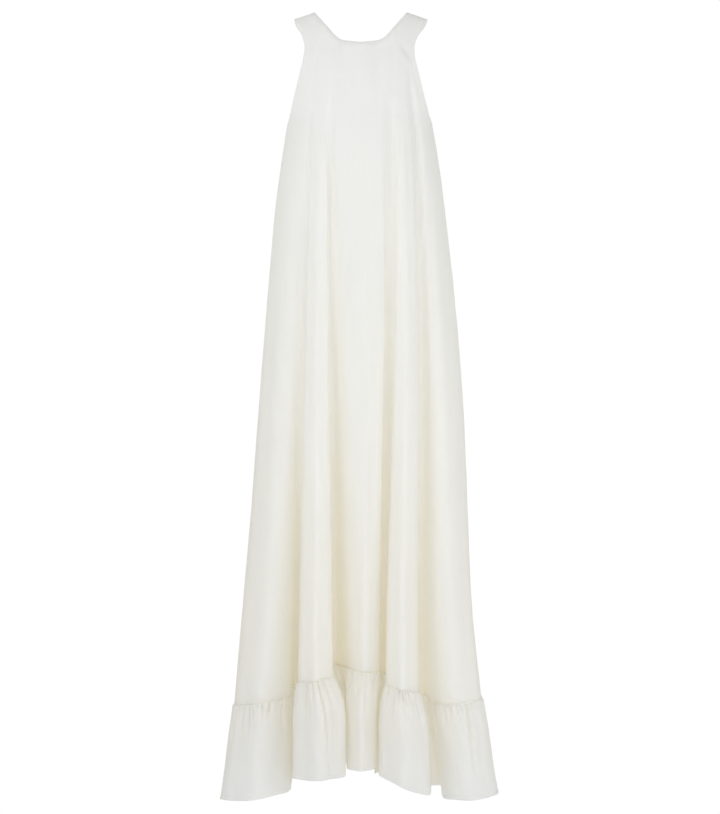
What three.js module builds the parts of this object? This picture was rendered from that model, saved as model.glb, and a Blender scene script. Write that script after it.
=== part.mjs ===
// A sleeveless maxi dress as it hangs when worn, with nobody in it. The front and the back are each
// cut in one from the shoulder straps to the knee seam, fall as a wide trapeze in deep tubular folds,
// and end in a gathered ruffle. The wearer's shoulders hold it up: the origin is midway between the
// two straps, level with the tops of the shoulders at the neck.
import * as THREE from "three";

// Driving dimensions, in millimetres. X is to the right of someone who faces the front of the dress,
// Y goes away from them, and Z is up.
const CLOTH = 1.6; // wall of the panels
const RUFFLE_CLOTH = 1.5; // wall of the ruffle
const SEAM_GAP = 0.3; // between two pieces that are sewn together
const CHEST_Z = -120; // above this the cloth lies smooth on the chest and the back
const UNDERARM_Z = -214; // where the armholes end and the side seams start
const STRAP_IN = 89; // the strap's neck side and its arm side, at the shoulder seam
const STRAP_OUT = 126.5;
const STRAP_DROP = 13; // how much lower the arm side is
const STRAP_SHIFT = 1.5; // how far the straps hang to the right
const NECK_RISE = 24; // how far the shoulders' line rises from the strap to the neck's middle
const STRAP_FLARE = 8; // how suddenly the armhole turns out to the strap's tip: a power
const OVAL = 2.3; // roundness of the figure's cross-section: 2 is an ellipse
const DRIFT = 0.6; // below 1, a fold narrows and moves sideways sooner than it deepens
const BODICE_ROWS = 5; // rows of the grid above the chest line
const COLUMNS_PER_KNOT = 2; // columns of a panel's grid for each stretch between two knots of a fold
const STRAP_KNOT = 7; // the knot below the strap's neck corner, counted in from a side seam
const GATHER_PITCH = 35; // length of one gather along the knee seam
const GATHER_DEPTH = 4.6;
const GATHER_STEPS = 4; // grid columns in one gather
const VALLEY_ROOM = 0.12; // share of a gather's depth that there is room for in a valley
const FLANK_ROOM = 0.5; // and on a tube's flank
const SEAM_PUFF = 3; // how far the ruffle springs out under the knee seam
const PUFF_PEAK = 0.15; // how far down the ruffle that is, as a share of its height
const HEM_GATHER = 0.3; // share of a gather's depth that is left at the hem
const FLARE = 0.2; // how soon the ruffle springs out below its seam, as a share of its height
const STRAIGHT_X = 140; // beyond this distance from the middle it falls straight instead
const STRAIGHT_EASE = 55; // over this distance it goes from one to the other
const RUFFLE_LEVELS = [0, 0.07, 0.24, 0.5, 1]; // shares of the way down the ruffle

// Heights of the grid's rows at the side edges, from the chest line to the knee seam.
const ROW_HEIGHTS = [
  CHEST_Z, -153, -183, -203, UNDERARM_Z, -268, -345, -445, -570, -725, -900, -1100, -1305,
];

// Rows of numbers under named columns, as a list of objects.
function table(columns, rows) {
  return rows.map((row) => Object.fromEntries(row.map((value, i) => [columns[i], value])));
}

// The dress without its folds, at each height: the cloth's side edges (an armhole above the underarm,
// a side seam below it), how much further in the back's armholes are cut, the half-width of the
// figure's oval, and how far the front and the back stand out.
const SECTIONS = table(["z", "left", "right", "inset", "figure", "front", "back"], [
  [0, 130, 130, 0, 176, 74, 80],
  [-13, 126.5, 126.5, 0, 172, 75, 81],
  [-32, 118, 116, 5, 166, 77, 83],
  [-66, 107, 104, 7, 158, 84, 88],
  [-92, 108, 104, 4, 153, 92, 92],
  [CHEST_Z, 114, 111, 0, 150, 101, 96],
  [-165, 125, 122, 0, 148, 114, 102],
  [-190, 131, 129, 0, 142, 119, 104],
  [-205, 135, 134, 0, 138.5, 122, 105],
  [UNDERARM_Z, 138, 137, 0, 138, 124, 106],
  [-270, 147, 147, 0, 147, 132, 113],
  [-365, 160, 160, 0, 160, 142, 126],
  [-555, 177, 181, 0, 180, 158, 146],
  [-745, 192, 196, 0, 195, 172, 162],
  [-935, 206, 204, 0, 206, 184, 175],
  [-1125, 222, 212, 0, 219, 194, 187],
  [-1310, 237, 231, 0, 236, 204, 198],
]);

const FRONT_NECKLINE = table(["x", "z"], [
  [0, -66],
  [34, -61.5],
  [46, -54],
  [67, -29],
  [STRAP_IN, 0],
]);
const BACK_NECKLINE = table(["x", "z"], [
  [0, -116],
  [26, -112],
  [48, -92],
  [70, -50],
  [STRAP_IN, 0],
]);

// The folds of each panel from its left edge to its right. A tube is a fold that stands out, a valley
// one that goes in, and a side is a side seam. top and spread place the fold on the smooth chest line.
// x and half place it at the knee seam, where y is its crest or bottom, round how far a tube's flanks
// lie behind its crest, bulge how far they overhang the valleys, z the seam's height and tilt how much
// the seam rises from the fold's middle to its right flank. The fold starts at height start, and grow
// is the power by which it deepens on the way down.
const FOLD = ["kind", "top", "spread", "x", "half", "y", "round", "bulge", "z", "tilt", "start", "grow"];
const FRONT_FOLDS = table(FOLD, [
  ["side", -138, 0, -237, 0, 0, 0, 0, -1309, 0, -214, 1],
  ["tube", -120, 13, -182, 48, -150, 46, 3, -1293, 7, -214, 1.3],
  ["valley", -99, 7, -121, 8, -56, 12, 0, -1272, 0, -214, 1.5],
  ["tube", -77, 12, -83, 26, -201, 38, 6, -1247, 6, -190, 1.15],
  ["valley", -54, 9, -45, 8, -90, 12, 0, -1229, 0, -165, 1.1],
  ["tube", 5, 40, 8, 26, -160, 26, 2, -1234, -3, -200, 1.1],
  ["valley", 63, 9, 42, 7, -84, 12, 0, -1246, 0, -165, 1.05],
  ["tube", 86, 11, 79, 25, -201, 38, 5, -1264, -8, -160, 1],
  ["valley", 107, 7, 120, 7, -92, 9, 0, -1284, 0, -145, 0.9],
  ["tube", 124, 9, 180, 46, -150, 41, 0, -1294, 3, -214, 1.1],
  ["side", 137, 0, 231, 0, 0, 0, 0, -1299, 0, -214, 1],
]);
const BACK_FOLDS = table(FOLD, [
  ["side", -138, 0, -237, 0, 0, 0, 0, -1309, 0, -214, 1],
  ["tube", -119, 13, -180, 46, 148, 44, 2, -1294, 5, -214, 1.2],
  ["valley", -94, 8, -119, 9, 70, 14, 0, -1278, 0, -214, 1.2],
  ["tube", -67, 14, -78, 28, 192, 38, 6, -1262, 3, -200, 1.1],
  ["valley", -38, 9, -36, 8, 92, 13, 0, -1254, 0, -200, 1.1],
  ["tube", 4, 26, 10, 28, 180, 30, 4, -1252, 0, -200, 1.1],
  ["valley", 46, 9, 55, 8, 82, 13, 0, -1257, 0, -200, 1.05],
  ["tube", 74, 13, 92, 26, 190, 36, 5, -1268, -4, -200, 1.1],
  ["valley", 100, 8, 130, 9, 76, 14, 0, -1282, 0, -214, 1.1],
  ["tube", 120, 10, 182, 42, 146, 42, 2, -1293, -2, -214, 1.2],
  ["side", 137, 0, 231, 0, 0, 0, 0, -1299, 0, -214, 1],
]);

// The same folds at the ruffle's hem, row for row.
const HEM = ["x", "half", "y", "round", "bulge", "z", "tilt"];
const FRONT_HEM = table(HEM, [
  [-264, 0, 0, 0, 0, -1492, 0],
  [-194, 59, -166, 58, 4, -1468, 8],
  [-122, 5, -52, 14, 0, -1444, 0],
  [-75, 40, -219, 48, 8, -1425, 2],
  [-25, 5, -92, 12, 0, -1413, 0],
  [3, 23, -190, 36, 4, -1412, 0],
  [33, 5, -96, 12, 0, -1428, 0],
  [82, 41, -216, 44, 5, -1440, -17],
  [141, 9, -96, 10, 0, -1452, 0],
  [204, 47, -170, 52, 3, -1468, 3],
  [262, 0, 0, 0, 0, -1480, 0],
]);
const BACK_HEM = table(HEM, [
  [-264, 0, 0, 0, 0, -1492, 0],
  [-198, 56, 164, 54, 3, -1472, 5],
  [-129, 8, 72, 13, 0, -1454, 0],
  [-80, 36, 212, 46, 7, -1438, 3],
  [-31, 6, 92, 13, 0, -1430, 0],
  [12, 32, 202, 42, 5, -1428, 0],
  [57, 6, 84, 13, 0, -1434, 0],
  [101, 34, 210, 44, 6, -1446, -5],
  [148, 8, 78, 13, 0, -1458, 0],
  [203, 46, 162, 50, 3, -1470, -3],
  [262, 0, 0, 0, 0, -1480, 0],
]);

const mix = (a, b, t) => a + (b - a) * t;
const clamp = (t) => Math.min(1, Math.max(0, t));

// A named column of some rows, read between them by a smooth curve. by is the column to look along.
function read(list, name, by, at) {
  const rows = list[0][by] < list.at(-1)[by] ? list : [...list].reverse();
  const last = rows.length - 1;
  let i = 0;
  while (i < last - 1 && rows[i + 1][by] < at) i += 1;
  const slope = (k) => {
    const a = rows[Math.max(0, k - 1)];
    const b = rows[Math.min(last, k + 1)];
    return (b[name] - a[name]) / (b[by] - a[by]);
  };
  const step = rows[i + 1][by] - rows[i][by];
  const t = clamp((at - rows[i][by]) / step);
  const rise = rows[i + 1][name] - rows[i][name];
  const a = slope(i) * step - rise;
  const b = -slope(i + 1) * step + rise;
  return mix(rows[i][name], rows[i + 1][name], t) + t * (1 - t) * mix(a, b, t);
}

// Catmull-Rom value at position k along a list of numbers.
function through(list, k) {
  const i = Math.min(list.length - 2, Math.floor(k));
  const t = k - i;
  const p = (n) => list[Math.min(list.length - 1, Math.max(0, n))];
  const [a, b, c, d] = [p(i - 1), p(i), p(i + 1), p(i + 2)];
  return b + 0.5 * t * (c - a + t * (2 * a - 5 * b + 4 * c - d + t * (3 * (b - c) + d - a)));
}

// How far the figure's oval stands out at x, from 0 at its side to 1 in the middle.
function ovalShare(x, halfWidth) {
  return (1 - Math.min(1, Math.abs(x) / halfWidth) ** OVAL) ** (1 / OVAL);
}

// Where the cloth would turn over the shoulder at x, were it not cut.
function shoulderZ(x) {
  const across = Math.abs(x);
  if (across < STRAP_IN) return NECK_RISE * (1 - (across / STRAP_IN) ** 2);
  return (-STRAP_DROP * (across - STRAP_IN)) / (STRAP_OUT - STRAP_IN);
}

// How far the unfolded cloth stands out from the shoulders' plane at x and z.
function standOut(side, x, z) {
  const edge = read(SECTIONS, x < 0 ? "left" : "right", "z", z);
  const halfWidth = z > UNDERARM_Z ? Math.max(read(SECTIONS, "figure", "z", z), edge) : edge;
  const flat = read(SECTIONS, side.name, "z", z) * ovalShare(x, halfWidth);
  const climb = clamp((z - CHEST_Z) / (shoulderZ(x) - CHEST_Z));
  return flat * Math.sqrt(1 - climb * climb);
}

// The offsets, from -1 to 1, of a fold's knots from its middle. The ring passes through the knots.
const KNOTS = { side: [0], tube: [-1, -0.62, 0, 0.62, 1], valley: [-1, 0, 1] };

// How much room a knot leaves for the ruffle's gathers.
function roomAt(kind, offset) {
  if (kind === "valley") return VALLEY_ROOM;
  return Math.abs(offset) === 1 ? FLANK_ROOM : 1;
}

// One entry for each knot of a side, left to right: its fold's row, its hem row and its offset.
function knotsOf(side) {
  return side.folds.flatMap((fold, i) =>
    KNOTS[fold.kind].map((offset) => {
      const room = roomAt(fold.kind, offset);
      return { fold, hem: side.hem[i], offset, room };
    }),
  );
}

// A knot's place at a row of numbers like those of the tables.
function place(row, kind, offset, outward) {
  const bend = offset ** 2 * row.round;
  const inward = kind === "valley" ? -bend : bend;
  const overhang = Math.abs(offset) === 1 ? Math.sign(offset) * row.bulge : 0;
  const x = row.x + offset * row.half;
  return { x, overhang, y: row.y - outward * inward, z: row.z + offset * row.tilt };
}

// Where a knot lies at share g of the way down from the chest line to the knee seam.
function skirtKnot(side, knot, g) {
  const { fold, offset } = knot;
  const seam = place(fold, fold.kind, offset, side.outward);
  const z = mix(CHEST_Z, seam.z, g);
  const down = clamp((fold.start - z) / (fold.start - seam.z));
  const drift = down ** DRIFT;
  const depth = down ** fold.grow;
  const [edgeName, end] = seam.x < 0 ? ["left", side.folds[0]] : ["right", side.folds.at(-1)];
  const topShare = (fold.top + offset * fold.spread) / Math.abs(end.top);
  const share = mix(topShare, seam.x / Math.abs(end.x), drift);
  const x = read(SECTIONS, edgeName, "z", z) * share + seam.overhang * depth;
  const smooth = side.outward * standOut(side, x, z);
  const grown = read(SECTIONS, side.name, "z", z) / read(SECTIONS, side.name, "z", seam.z);
  return new THREE.Vector3(x, mix(smooth, seam.y * grown, depth), z);
}

// A point at position k along a list of knots.
function alongKnots(points, k) {
  const axis = (name) => through(points.map((p) => p[name]), k);
  return new THREE.Vector3(axis("x"), axis("y"), axis("z"));
}

// A panel's grid, rows from the neckline and shoulders down to the knee seam.
function panelGrid(side) {
  const knots = knotsOf(side);
  const last = (knots.length - 1) * COLUMNS_PER_KNOT;
  const lowest = ROW_HEIGHTS.at(-1);
  const rings = ROW_HEIGHTS.map((height) => {
    const g = (height - CHEST_Z) / (lowest - CHEST_Z);
    const points = knots.map((knot) => skirtKnot(side, knot, g));
    return Array.from({ length: last + 1 }, (_, c) => alongKnots(points, c / COLUMNS_PER_KNOT));
  });
  const chest = rings[0];
  const bodice = Array.from({ length: BODICE_ROWS }, (_, row) => {
    const up = Math.sin(((1 - row / BODICE_ROWS) * Math.PI) / 2);
    return chest.map((_, c) => bodicePoint(side, chest, c, up));
  });
  const underarm = ROW_HEIGHTS.indexOf(UNDERARM_Z);
  for (const row of rings.slice(underarm)) {
    for (const p of [row[0], row[last]]) p.y = (side.outward * SEAM_GAP) / 2;
  }
  return [...bodice, ...rings];
}

// The armhole's edge at height z: its distance from the middle of the dress.
function armholeEdge(side, sign, z) {
  const edge = read(SECTIONS, sign < 0 ? "left" : "right", "z", z);
  return side.name === "back" ? edge - read(SECTIONS, "inset", "z", z) : edge;
}

// A point of the bodice above column c of the chest line, share up of the way to the neckline or the
// shoulder seam.
function bodicePoint(side, chest, c, up) {
  const foot = chest[c];
  const last = chest.length - 1;
  const sign = c < last / 2 ? -1 : 1;
  const strapColumn = STRAP_KNOT * COLUMNS_PER_KNOT;
  const corner = Math.abs(chest[sign < 0 ? strapColumn : last - strapColumn].x);
  const fromEdge = Math.min(c, last - c);
  const shift = STRAP_SHIFT * up;
  if (fromEdge > strapColumn) {
    const topX = (sign * STRAP_IN * Math.abs(foot.x)) / corner;
    const x = mix(foot.x, topX, up);
    const z = mix(CHEST_Z, read(side.neckline, "z", "x", Math.abs(topX)), up);
    return new THREE.Vector3(x + shift, side.outward * standOut(side, x, z), z);
  }
  const across = 1 - fromEdge / strapColumn;
  const z = mix(CHEST_Z, shoulderZ(mix(STRAP_IN, STRAP_OUT, across)), up);
  const armhole = armholeEdge(side, sign, z);
  const outer = mix(armhole, STRAP_OUT, up ** STRAP_FLARE);
  const share = (Math.abs(foot.x) - corner) / (Math.abs(chest[sign < 0 ? 0 : last].x) - corner);
  const x = sign * mix(mix(corner, STRAP_IN, up), outer, mix(share, across, up));
  const y = side.outward * (up === 1 ? SEAM_GAP / 2 : standOut(side, x, z));
  return new THREE.Vector3(x + shift, y, z);
}

// The ruffle's grid. Its top edge follows the panel's lower edge, a seam's gap below it.
function ruffleGrid(side, panel) {
  const knots = knotsOf(side);
  const seamRow = panel.at(-1);
  const at = (k, v) => {
    const spots = knots.map(({ fold, hem, offset }) => {
      const seam = place(fold, fold.kind, offset, side.outward);
      const low = place(hem, fold.kind, offset, side.outward);
      const share = sprung(seam.x, v);
      const x = mix(seam.x + seam.overhang, low.x + low.overhang, share);
      return { x, y: mix(seam.y, low.y, share), z: mix(seam.z, low.z, v) };
    });
    return alongKnots(spots, k);
  };
  const columns = [];
  let travelled = 0;
  for (let c = 0; c < seamRow.length - 1; c += 1) {
    const from = at(c / COLUMNS_PER_KNOT, 0.5);
    const length = from.distanceTo(at((c + 1) / COLUMNS_PER_KNOT, 0.5));
    const parts = Math.max(1, Math.round((length * GATHER_STEPS) / GATHER_PITCH));
    for (let n = 0; n < parts; n += 1) {
      columns.push({ k: (c + n / parts) / COLUMNS_PER_KNOT, along: travelled + (length * n) / parts });
    }
    travelled += length;
  }
  columns.push({ k: (seamRow.length - 1) / COLUMNS_PER_KNOT, along: travelled });
  return RUFFLE_LEVELS.map((v) =>
    columns.map(({ k, along }, c) => {
      const onSeam = seamPoint(seamRow, k * COLUMNS_PER_KNOT);
      if (v === 0) return onSeam.setZ(onSeam.z - SEAM_GAP);
      const point = at(k, v);
      if (c === 0 || c === columns.length - 1) return point.setY((side.outward * SEAM_GAP) / 2);
      const nearby = 0.5 / COLUMNS_PER_KNOT;
      const ahead = at(Math.min(knots.length - 1, k + nearby), v);
      const across = ahead.sub(at(Math.max(0, k - nearby), v)).normalize();
      const out = new THREE.Vector3(-across.y * side.outward, across.x * side.outward, 0);
      const room = through(knots.map((knot) => knot.room), k);
      return point.addScaledVector(out, room * gather(along, travelled, v));
    }),
  );
}

// How much of the way out to the hem's folds the ruffle has sprung at share v of the way down.
function sprung(x, v) {
  const quick = 1 - Math.exp(-((v / FLARE) ** 1.5));
  return mix(v, quick, clamp((STRAIGHT_X - Math.abs(x)) / STRAIGHT_EASE));
}

// A point on the knee seam's polyline.
function seamPoint(row, c) {
  const i = Math.min(row.length - 2, Math.floor(c + 1e-9));
  return row[i].clone().lerp(row[i + 1], c - i);
}

// How far a gather stands out at a place along the ruffle, share v of the way down it. The gathers are
// sharp and uneven under the seam, run out towards the hem and stop at the side seams.
function gather(along, whole, v) {
  const pitch = whole / Math.round(whole / GATHER_PITCH);
  const turn = (2 * Math.PI * along) / pitch;
  const uneven = 0.75 + 0.25 * Math.sin(turn * 0.37 + 1.3);
  const puff = SEAM_PUFF * Math.sin(Math.PI * Math.min(1, v + 0.5 - PUFF_PEAK));
  const ends = clamp(along / pitch) * clamp((whole - along) / pitch);
  return ends * (GATHER_DEPTH * uneven * mix(1, HEM_GATHER, v) * Math.cos(turn) + puff);
}

// A closed wall whose outer face is a grid of points, rows from the top down and columns from the left.
// outward is -1 for a grid that faces the front and 1 for one that faces the back. The outer edges of
// the wall lie flat on the seams: straight down at a shoulder, level at a knee seam or hem, and across
// at a side seam.
function wall(grid, thickness, outward, flatTop) {
  const columns = grid[0].length;
  const low = grid.length - 1;
  const right = columns - 1;
  const positions = [];
  const inner = grid.map((row, r) =>
    row.map((point, c) => {
      const inside = outwardNormal(grid, r, c, outward).multiplyScalar(-1);
      const onPlane = Math.abs(point.y) < SEAM_GAP;
      if (r === 0 && flatTop === "shoulder" && onPlane) inside.set(0, 0, -1);
      else if ((c === 0 || c === right) && onPlane) inside.set(c === 0 ? 1 : -1, 0, 0);
      else if (r === low || (r === 0 && flatTop === "seam")) inside.copy(levelInside(row, c, outward));
      return point.clone().addScaledVector(inside, thickness);
    }),
  );
  for (const face of [grid, inner]) {
    for (const row of face) for (const p of row) positions.push(p.x, p.y, p.z);
  }
  const outerAt = (r, c) => r * columns + c;
  const innerAt = (r, c) => grid.length * columns + r * columns + c;
  const indices = [];
  const quad = (a, b, c, d) => {
    if (outward < 0) indices.push(a, b, c, a, c, d);
    else indices.push(a, c, b, a, d, c);
  };
  for (let r = 0; r < low; r += 1) {
    for (let c = 0; c < right; c += 1) {
      quad(outerAt(r, c), outerAt(r + 1, c), outerAt(r + 1, c + 1), outerAt(r, c + 1));
      quad(innerAt(r, c), innerAt(r, c + 1), innerAt(r + 1, c + 1), innerAt(r + 1, c));
    }
  }
  for (let c = 0; c < right; c += 1) {
    quad(outerAt(0, c), outerAt(0, c + 1), innerAt(0, c + 1), innerAt(0, c));
    quad(outerAt(low, c), innerAt(low, c), innerAt(low, c + 1), outerAt(low, c + 1));
  }
  for (let r = 0; r < low; r += 1) {
    quad(outerAt(r, 0), innerAt(r, 0), innerAt(r + 1, 0), outerAt(r + 1, 0));
    quad(outerAt(r, right), outerAt(r + 1, right), innerAt(r + 1, right), innerAt(r, right));
  }
  const geometry = new THREE.BufferGeometry();
  geometry.setAttribute("position", new THREE.Float32BufferAttribute(positions, 3));
  geometry.setIndex(indices);
  geometry.computeVertexNormals();
  return geometry;
}

// The level direction towards the wearer, square to a row of points.
function levelInside(row, c, outward) {
  const across = row[Math.min(row.length - 1, c + 1)].clone().sub(row[Math.max(0, c - 1)]);
  return new THREE.Vector3(across.y * outward, -across.x * outward, 0).normalize();
}

// The grid's normal at a point, from its neighbours, away from the wearer.
function outwardNormal(grid, r, c, outward) {
  const up = grid[Math.max(0, r - 1)][c];
  const down = grid[Math.min(grid.length - 1, r + 1)][c];
  const left = grid[r][Math.max(0, c - 1)];
  const right = grid[r][Math.min(grid[r].length - 1, c + 1)];
  const across = right.clone().sub(left);
  const along = up.clone().sub(down);
  return across.cross(along).multiplyScalar(-outward).normalize();
}

const FRONT = {
  name: "front",
  outward: -1,
  folds: FRONT_FOLDS,
  hem: FRONT_HEM,
  neckline: FRONT_NECKLINE,
};
const BACK = {
  name: "back",
  outward: 1,
  folds: BACK_FOLDS,
  hem: BACK_HEM,
  neckline: BACK_NECKLINE,
};

const ivory = new THREE.MeshStandardMaterial({ color: 0xf0eee0, roughness: 0.75, metalness: 0 });
const ivoryRuffle = new THREE.MeshStandardMaterial({ color: 0xeceadd, roughness: 0.78, metalness: 0 });

function piece(name, grid, thickness, outward, flatTop, material) {
  const mesh = new THREE.Mesh(wall(grid, thickness, outward, flatTop), material);
  mesh.name = name;
  return mesh;
}

const dress = new THREE.Group();
for (const side of [FRONT, BACK]) {
  const panel = panelGrid(side);
  const ruffle = ruffleGrid(side, panel);
  dress.add(piece(`${side.name}_panel`, panel, CLOTH, side.outward, "shoulder", ivory));
  dress.add(piece(`${side.name}_ruffle`, ruffle, RUFFLE_CLOTH, side.outward, "seam", ivoryRuffle));
}

export default dress;
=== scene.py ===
"""The look of a sleeveless ivory maxi dress with a gathered knee ruffle, laid out as a Blender add-on.

Each panel and each ruffle is a thin turned-in cloth on the form of its CAD solid, worked out from the
same tables, with its own creases, rolled edges, gathers, hem and weave.
"""

import math

import bpy
import numpy as np
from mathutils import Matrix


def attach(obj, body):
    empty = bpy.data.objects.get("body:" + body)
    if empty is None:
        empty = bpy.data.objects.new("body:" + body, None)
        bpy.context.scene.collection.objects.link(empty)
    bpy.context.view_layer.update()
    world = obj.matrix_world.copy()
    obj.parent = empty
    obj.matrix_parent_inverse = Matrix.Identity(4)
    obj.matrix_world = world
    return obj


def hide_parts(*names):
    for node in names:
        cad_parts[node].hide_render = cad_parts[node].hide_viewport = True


bl_info = {
    "name": "Maxi dress with a gathered ruffle",
    "version": (1, 0, 0),
    "blender": (4, 5, 0),
    "location": "3D View > Sidebar > Dress",
    "description": "Builds the cloth, seams and stitches of a sleeveless maxi dress over its CAD frame",
    "category": "Object",
}

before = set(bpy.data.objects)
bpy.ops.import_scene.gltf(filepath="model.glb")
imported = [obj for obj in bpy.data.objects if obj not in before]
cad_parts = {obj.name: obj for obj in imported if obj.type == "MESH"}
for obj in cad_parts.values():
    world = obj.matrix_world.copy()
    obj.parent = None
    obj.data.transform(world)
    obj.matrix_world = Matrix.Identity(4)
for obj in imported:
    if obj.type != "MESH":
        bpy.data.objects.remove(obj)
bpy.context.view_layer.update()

# Metres in a millimetre.
MM = 0.001

# Sizes of the cut, in millimetres, as in the part's source.
CHEST_Z = -120.0
UNDERARM_Z = -214.0
LOWEST_Z = -1305.0
STRAP_IN = 89.0
STRAP_OUT = 126.5
STRAP_DROP = 13.0
STRAP_SHIFT = 1.5
NECK_RISE = 24.0
SEAM_GAP = 0.2
STRAIGHT_X = 140.0
STRAIGHT_EASE = 55.0
# The knot where a strap ends, and the powers and the share that shape the oval, the folds' way down and
# the flare of the straps and of the ruffle, also as in the part's source.
STRAP_KNOT = 7
OVAL = 2.3
DRIFT = 0.6
STRAP_FLARE = 8.0
FLARE = 0.2
FLARE_POWER = 1.5
# The least length and squared length that is divided by.
TINY = 1e-9
TINY_SQUARED = 1e-12

# The two sides of the dress: the way each faces along Y, and the seed of its uneven details.
FRONT = {"name": "front", "outward": -1, "seed": 11}
BACK = {"name": "back", "outward": 1, "seed": 23}


def table(columns, rows):
    """Rows of numbers under named columns, as one array for each column."""
    data = np.array(rows, dtype=float)
    return {name: data[:, i] for i, name in enumerate(columns.split())}


# The dress without its folds: the side edges, the back's deeper armholes, the half-width of the figure's
# oval, and how far the front and the back stand out.
SECTIONS = table("z left right inset figure front back", [
    [0, 130, 130, 0, 176, 74, 80],
    [-13, 126.5, 126.5, 0, 172, 75, 81],
    [-32, 118, 116, 5, 166, 77, 83],
    [-66, 107, 104, 7, 158, 84, 88],
    [-92, 108, 104, 4, 153, 92, 92],
    [CHEST_Z, 114, 111, 0, 150, 101, 96],
    [-165, 125, 122, 0, 148, 114, 102],
    [-190, 131, 129, 0, 142, 119, 104],
    [-205, 135, 134, 0, 138.5, 122, 105],
    [UNDERARM_Z, 138, 137, 0, 138, 124, 106],
    [-270, 147, 147, 0, 147, 132, 113],
    [-365, 160, 160, 0, 160, 142, 126],
    [-555, 177, 181, 0, 180, 158, 146],
    [-745, 192, 196, 0, 195, 172, 162],
    [-935, 206, 204, 0, 206, 184, 175],
    [-1125, 222, 212, 0, 219, 194, 187],
    [-1310, 237, 231, 0, 236, 204, 198],
])
FRONT["neckline"] = table("x z", [[0, -66], [34, -61.5], [46, -54], [67, -29], [STRAP_IN, 0]])
BACK["neckline"] = table("x z", [[0, -116], [26, -112], [48, -92], [70, -50], [STRAP_IN, 0]])

# The folds from a panel's left edge to its right, counted from 0 at the left side seam to 10 at the
# right one: tubes stand out and valleys go in. top and spread are on the chest line, the others at the
# knee seam, but for start, the height where the fold begins, and grow, the power by which it deepens.
KINDS = "side tube valley tube valley tube valley tube valley tube side".split()
FOLD = "top spread x half y round bulge z tilt start grow"
FRONT["folds"] = table(FOLD, [
    [-138, 0, -237, 0, 0, 0, 0, -1309, 0, -214, 1],
    [-120.5, 12, -182, 48, -150, 46, 3, -1293, 7, -214, 1.3],
    [-97.5, 5, -121, 8, -65, 12, 0, -1272, 0, -214, 1.5],
    [-77, 12, -83, 26, -201, 38, 6, -1247, 6, -190, 1.15],
    [-54, 9, -45, 8, -90, 12, 0, -1229, 0, -165, 1.1],
    [5, 40, 8, 26, -160, 26, 2, -1234, -3, -200, 1.1],
    [63, 9, 42, 7, -93, 12, 0, -1246, 0, -165, 1.05],
    [86, 11, 79, 25, -201, 38, 5, -1264, -8, -160, 1],
    [107, 7, 120, 7, -92, 9, 0, -1284, 0, -145, 0.9],
    [124, 9, 180, 46, -150, 41, 0, -1294, 3, -214, 1.1],
    [137, 0, 231, 0, 0, 0, 0, -1299, 0, -214, 1],
])
BACK["folds"] = table(FOLD, [
    [-138, 0, -237, 0, 0, 0, 0, -1309, 0, -214, 1],
    [-119, 13, -180, 46, 148, 44, 2, -1294, 5, -214, 1.2],
    [-94, 8, -119, 9, 70, 14, 0, -1278, 0, -214, 1.2],
    [-67, 14, -78, 28, 192, 38, 6, -1262, 3, -200, 1.1],
    [-38, 9, -36, 8, 92, 13, 0, -1254, 0, -200, 1.1],
    [4, 26, 10, 28, 180, 30, 4, -1252, 0, -200, 1.1],
    [46, 9, 55, 8, 82, 13, 0, -1257, 0, -200, 1.05],
    [74, 13, 92, 26, 190, 36, 5, -1268, -4, -200, 1.1],
    [100, 8, 130, 9, 76, 14, 0, -1282, 0, -214, 1.1],
    [120, 10, 182, 42, 146, 42, 2, -1293, -2, -214, 1.2],
    [137, 0, 231, 0, 0, 0, 0, -1299, 0, -214, 1],
])
HEM = "x half y round bulge z tilt"
FRONT["hem"] = table(HEM, [
    [-264, 0, 0, 0, 0, -1492, 0],
    [-194, 59, -166, 58, 4, -1468, 8],
    [-122, 5, -52, 14, 0, -1444, 0],
    [-75, 40, -219, 48, 8, -1425, 2],
    [-25, 5, -92, 12, 0, -1413, 0],
    [3, 23, -190, 36, 4, -1412, 0],
    [33, 5, -96, 12, 0, -1428, 0],
    [82, 41, -216, 44, 5, -1440, -17],
    [141, 9, -96, 10, 0, -1452, 0],
    [204, 47, -170, 52, 3, -1468, 3],
    [262, 0, 0, 0, 0, -1480, 0],
])
BACK["hem"] = table(HEM, [
    [-264, 0, 0, 0, 0, -1492, 0],
    [-198, 56, 164, 54, 3, -1472, 5],
    [-129, 8, 72, 13, 0, -1454, 0],
    [-80, 36, 212, 46, 7, -1438, 3],
    [-31, 6, 92, 13, 0, -1430, 0],
    [12, 32, 202, 42, 5, -1428, 0],
    [57, 6, 84, 13, 0, -1434, 0],
    [101, 34, 210, 44, 6, -1446, -5],
    [148, 8, 78, 13, 0, -1458, 0],
    [203, 46, 162, 50, 3, -1470, -3],
    [262, 0, 0, 0, 0, -1480, 0],
])

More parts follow.
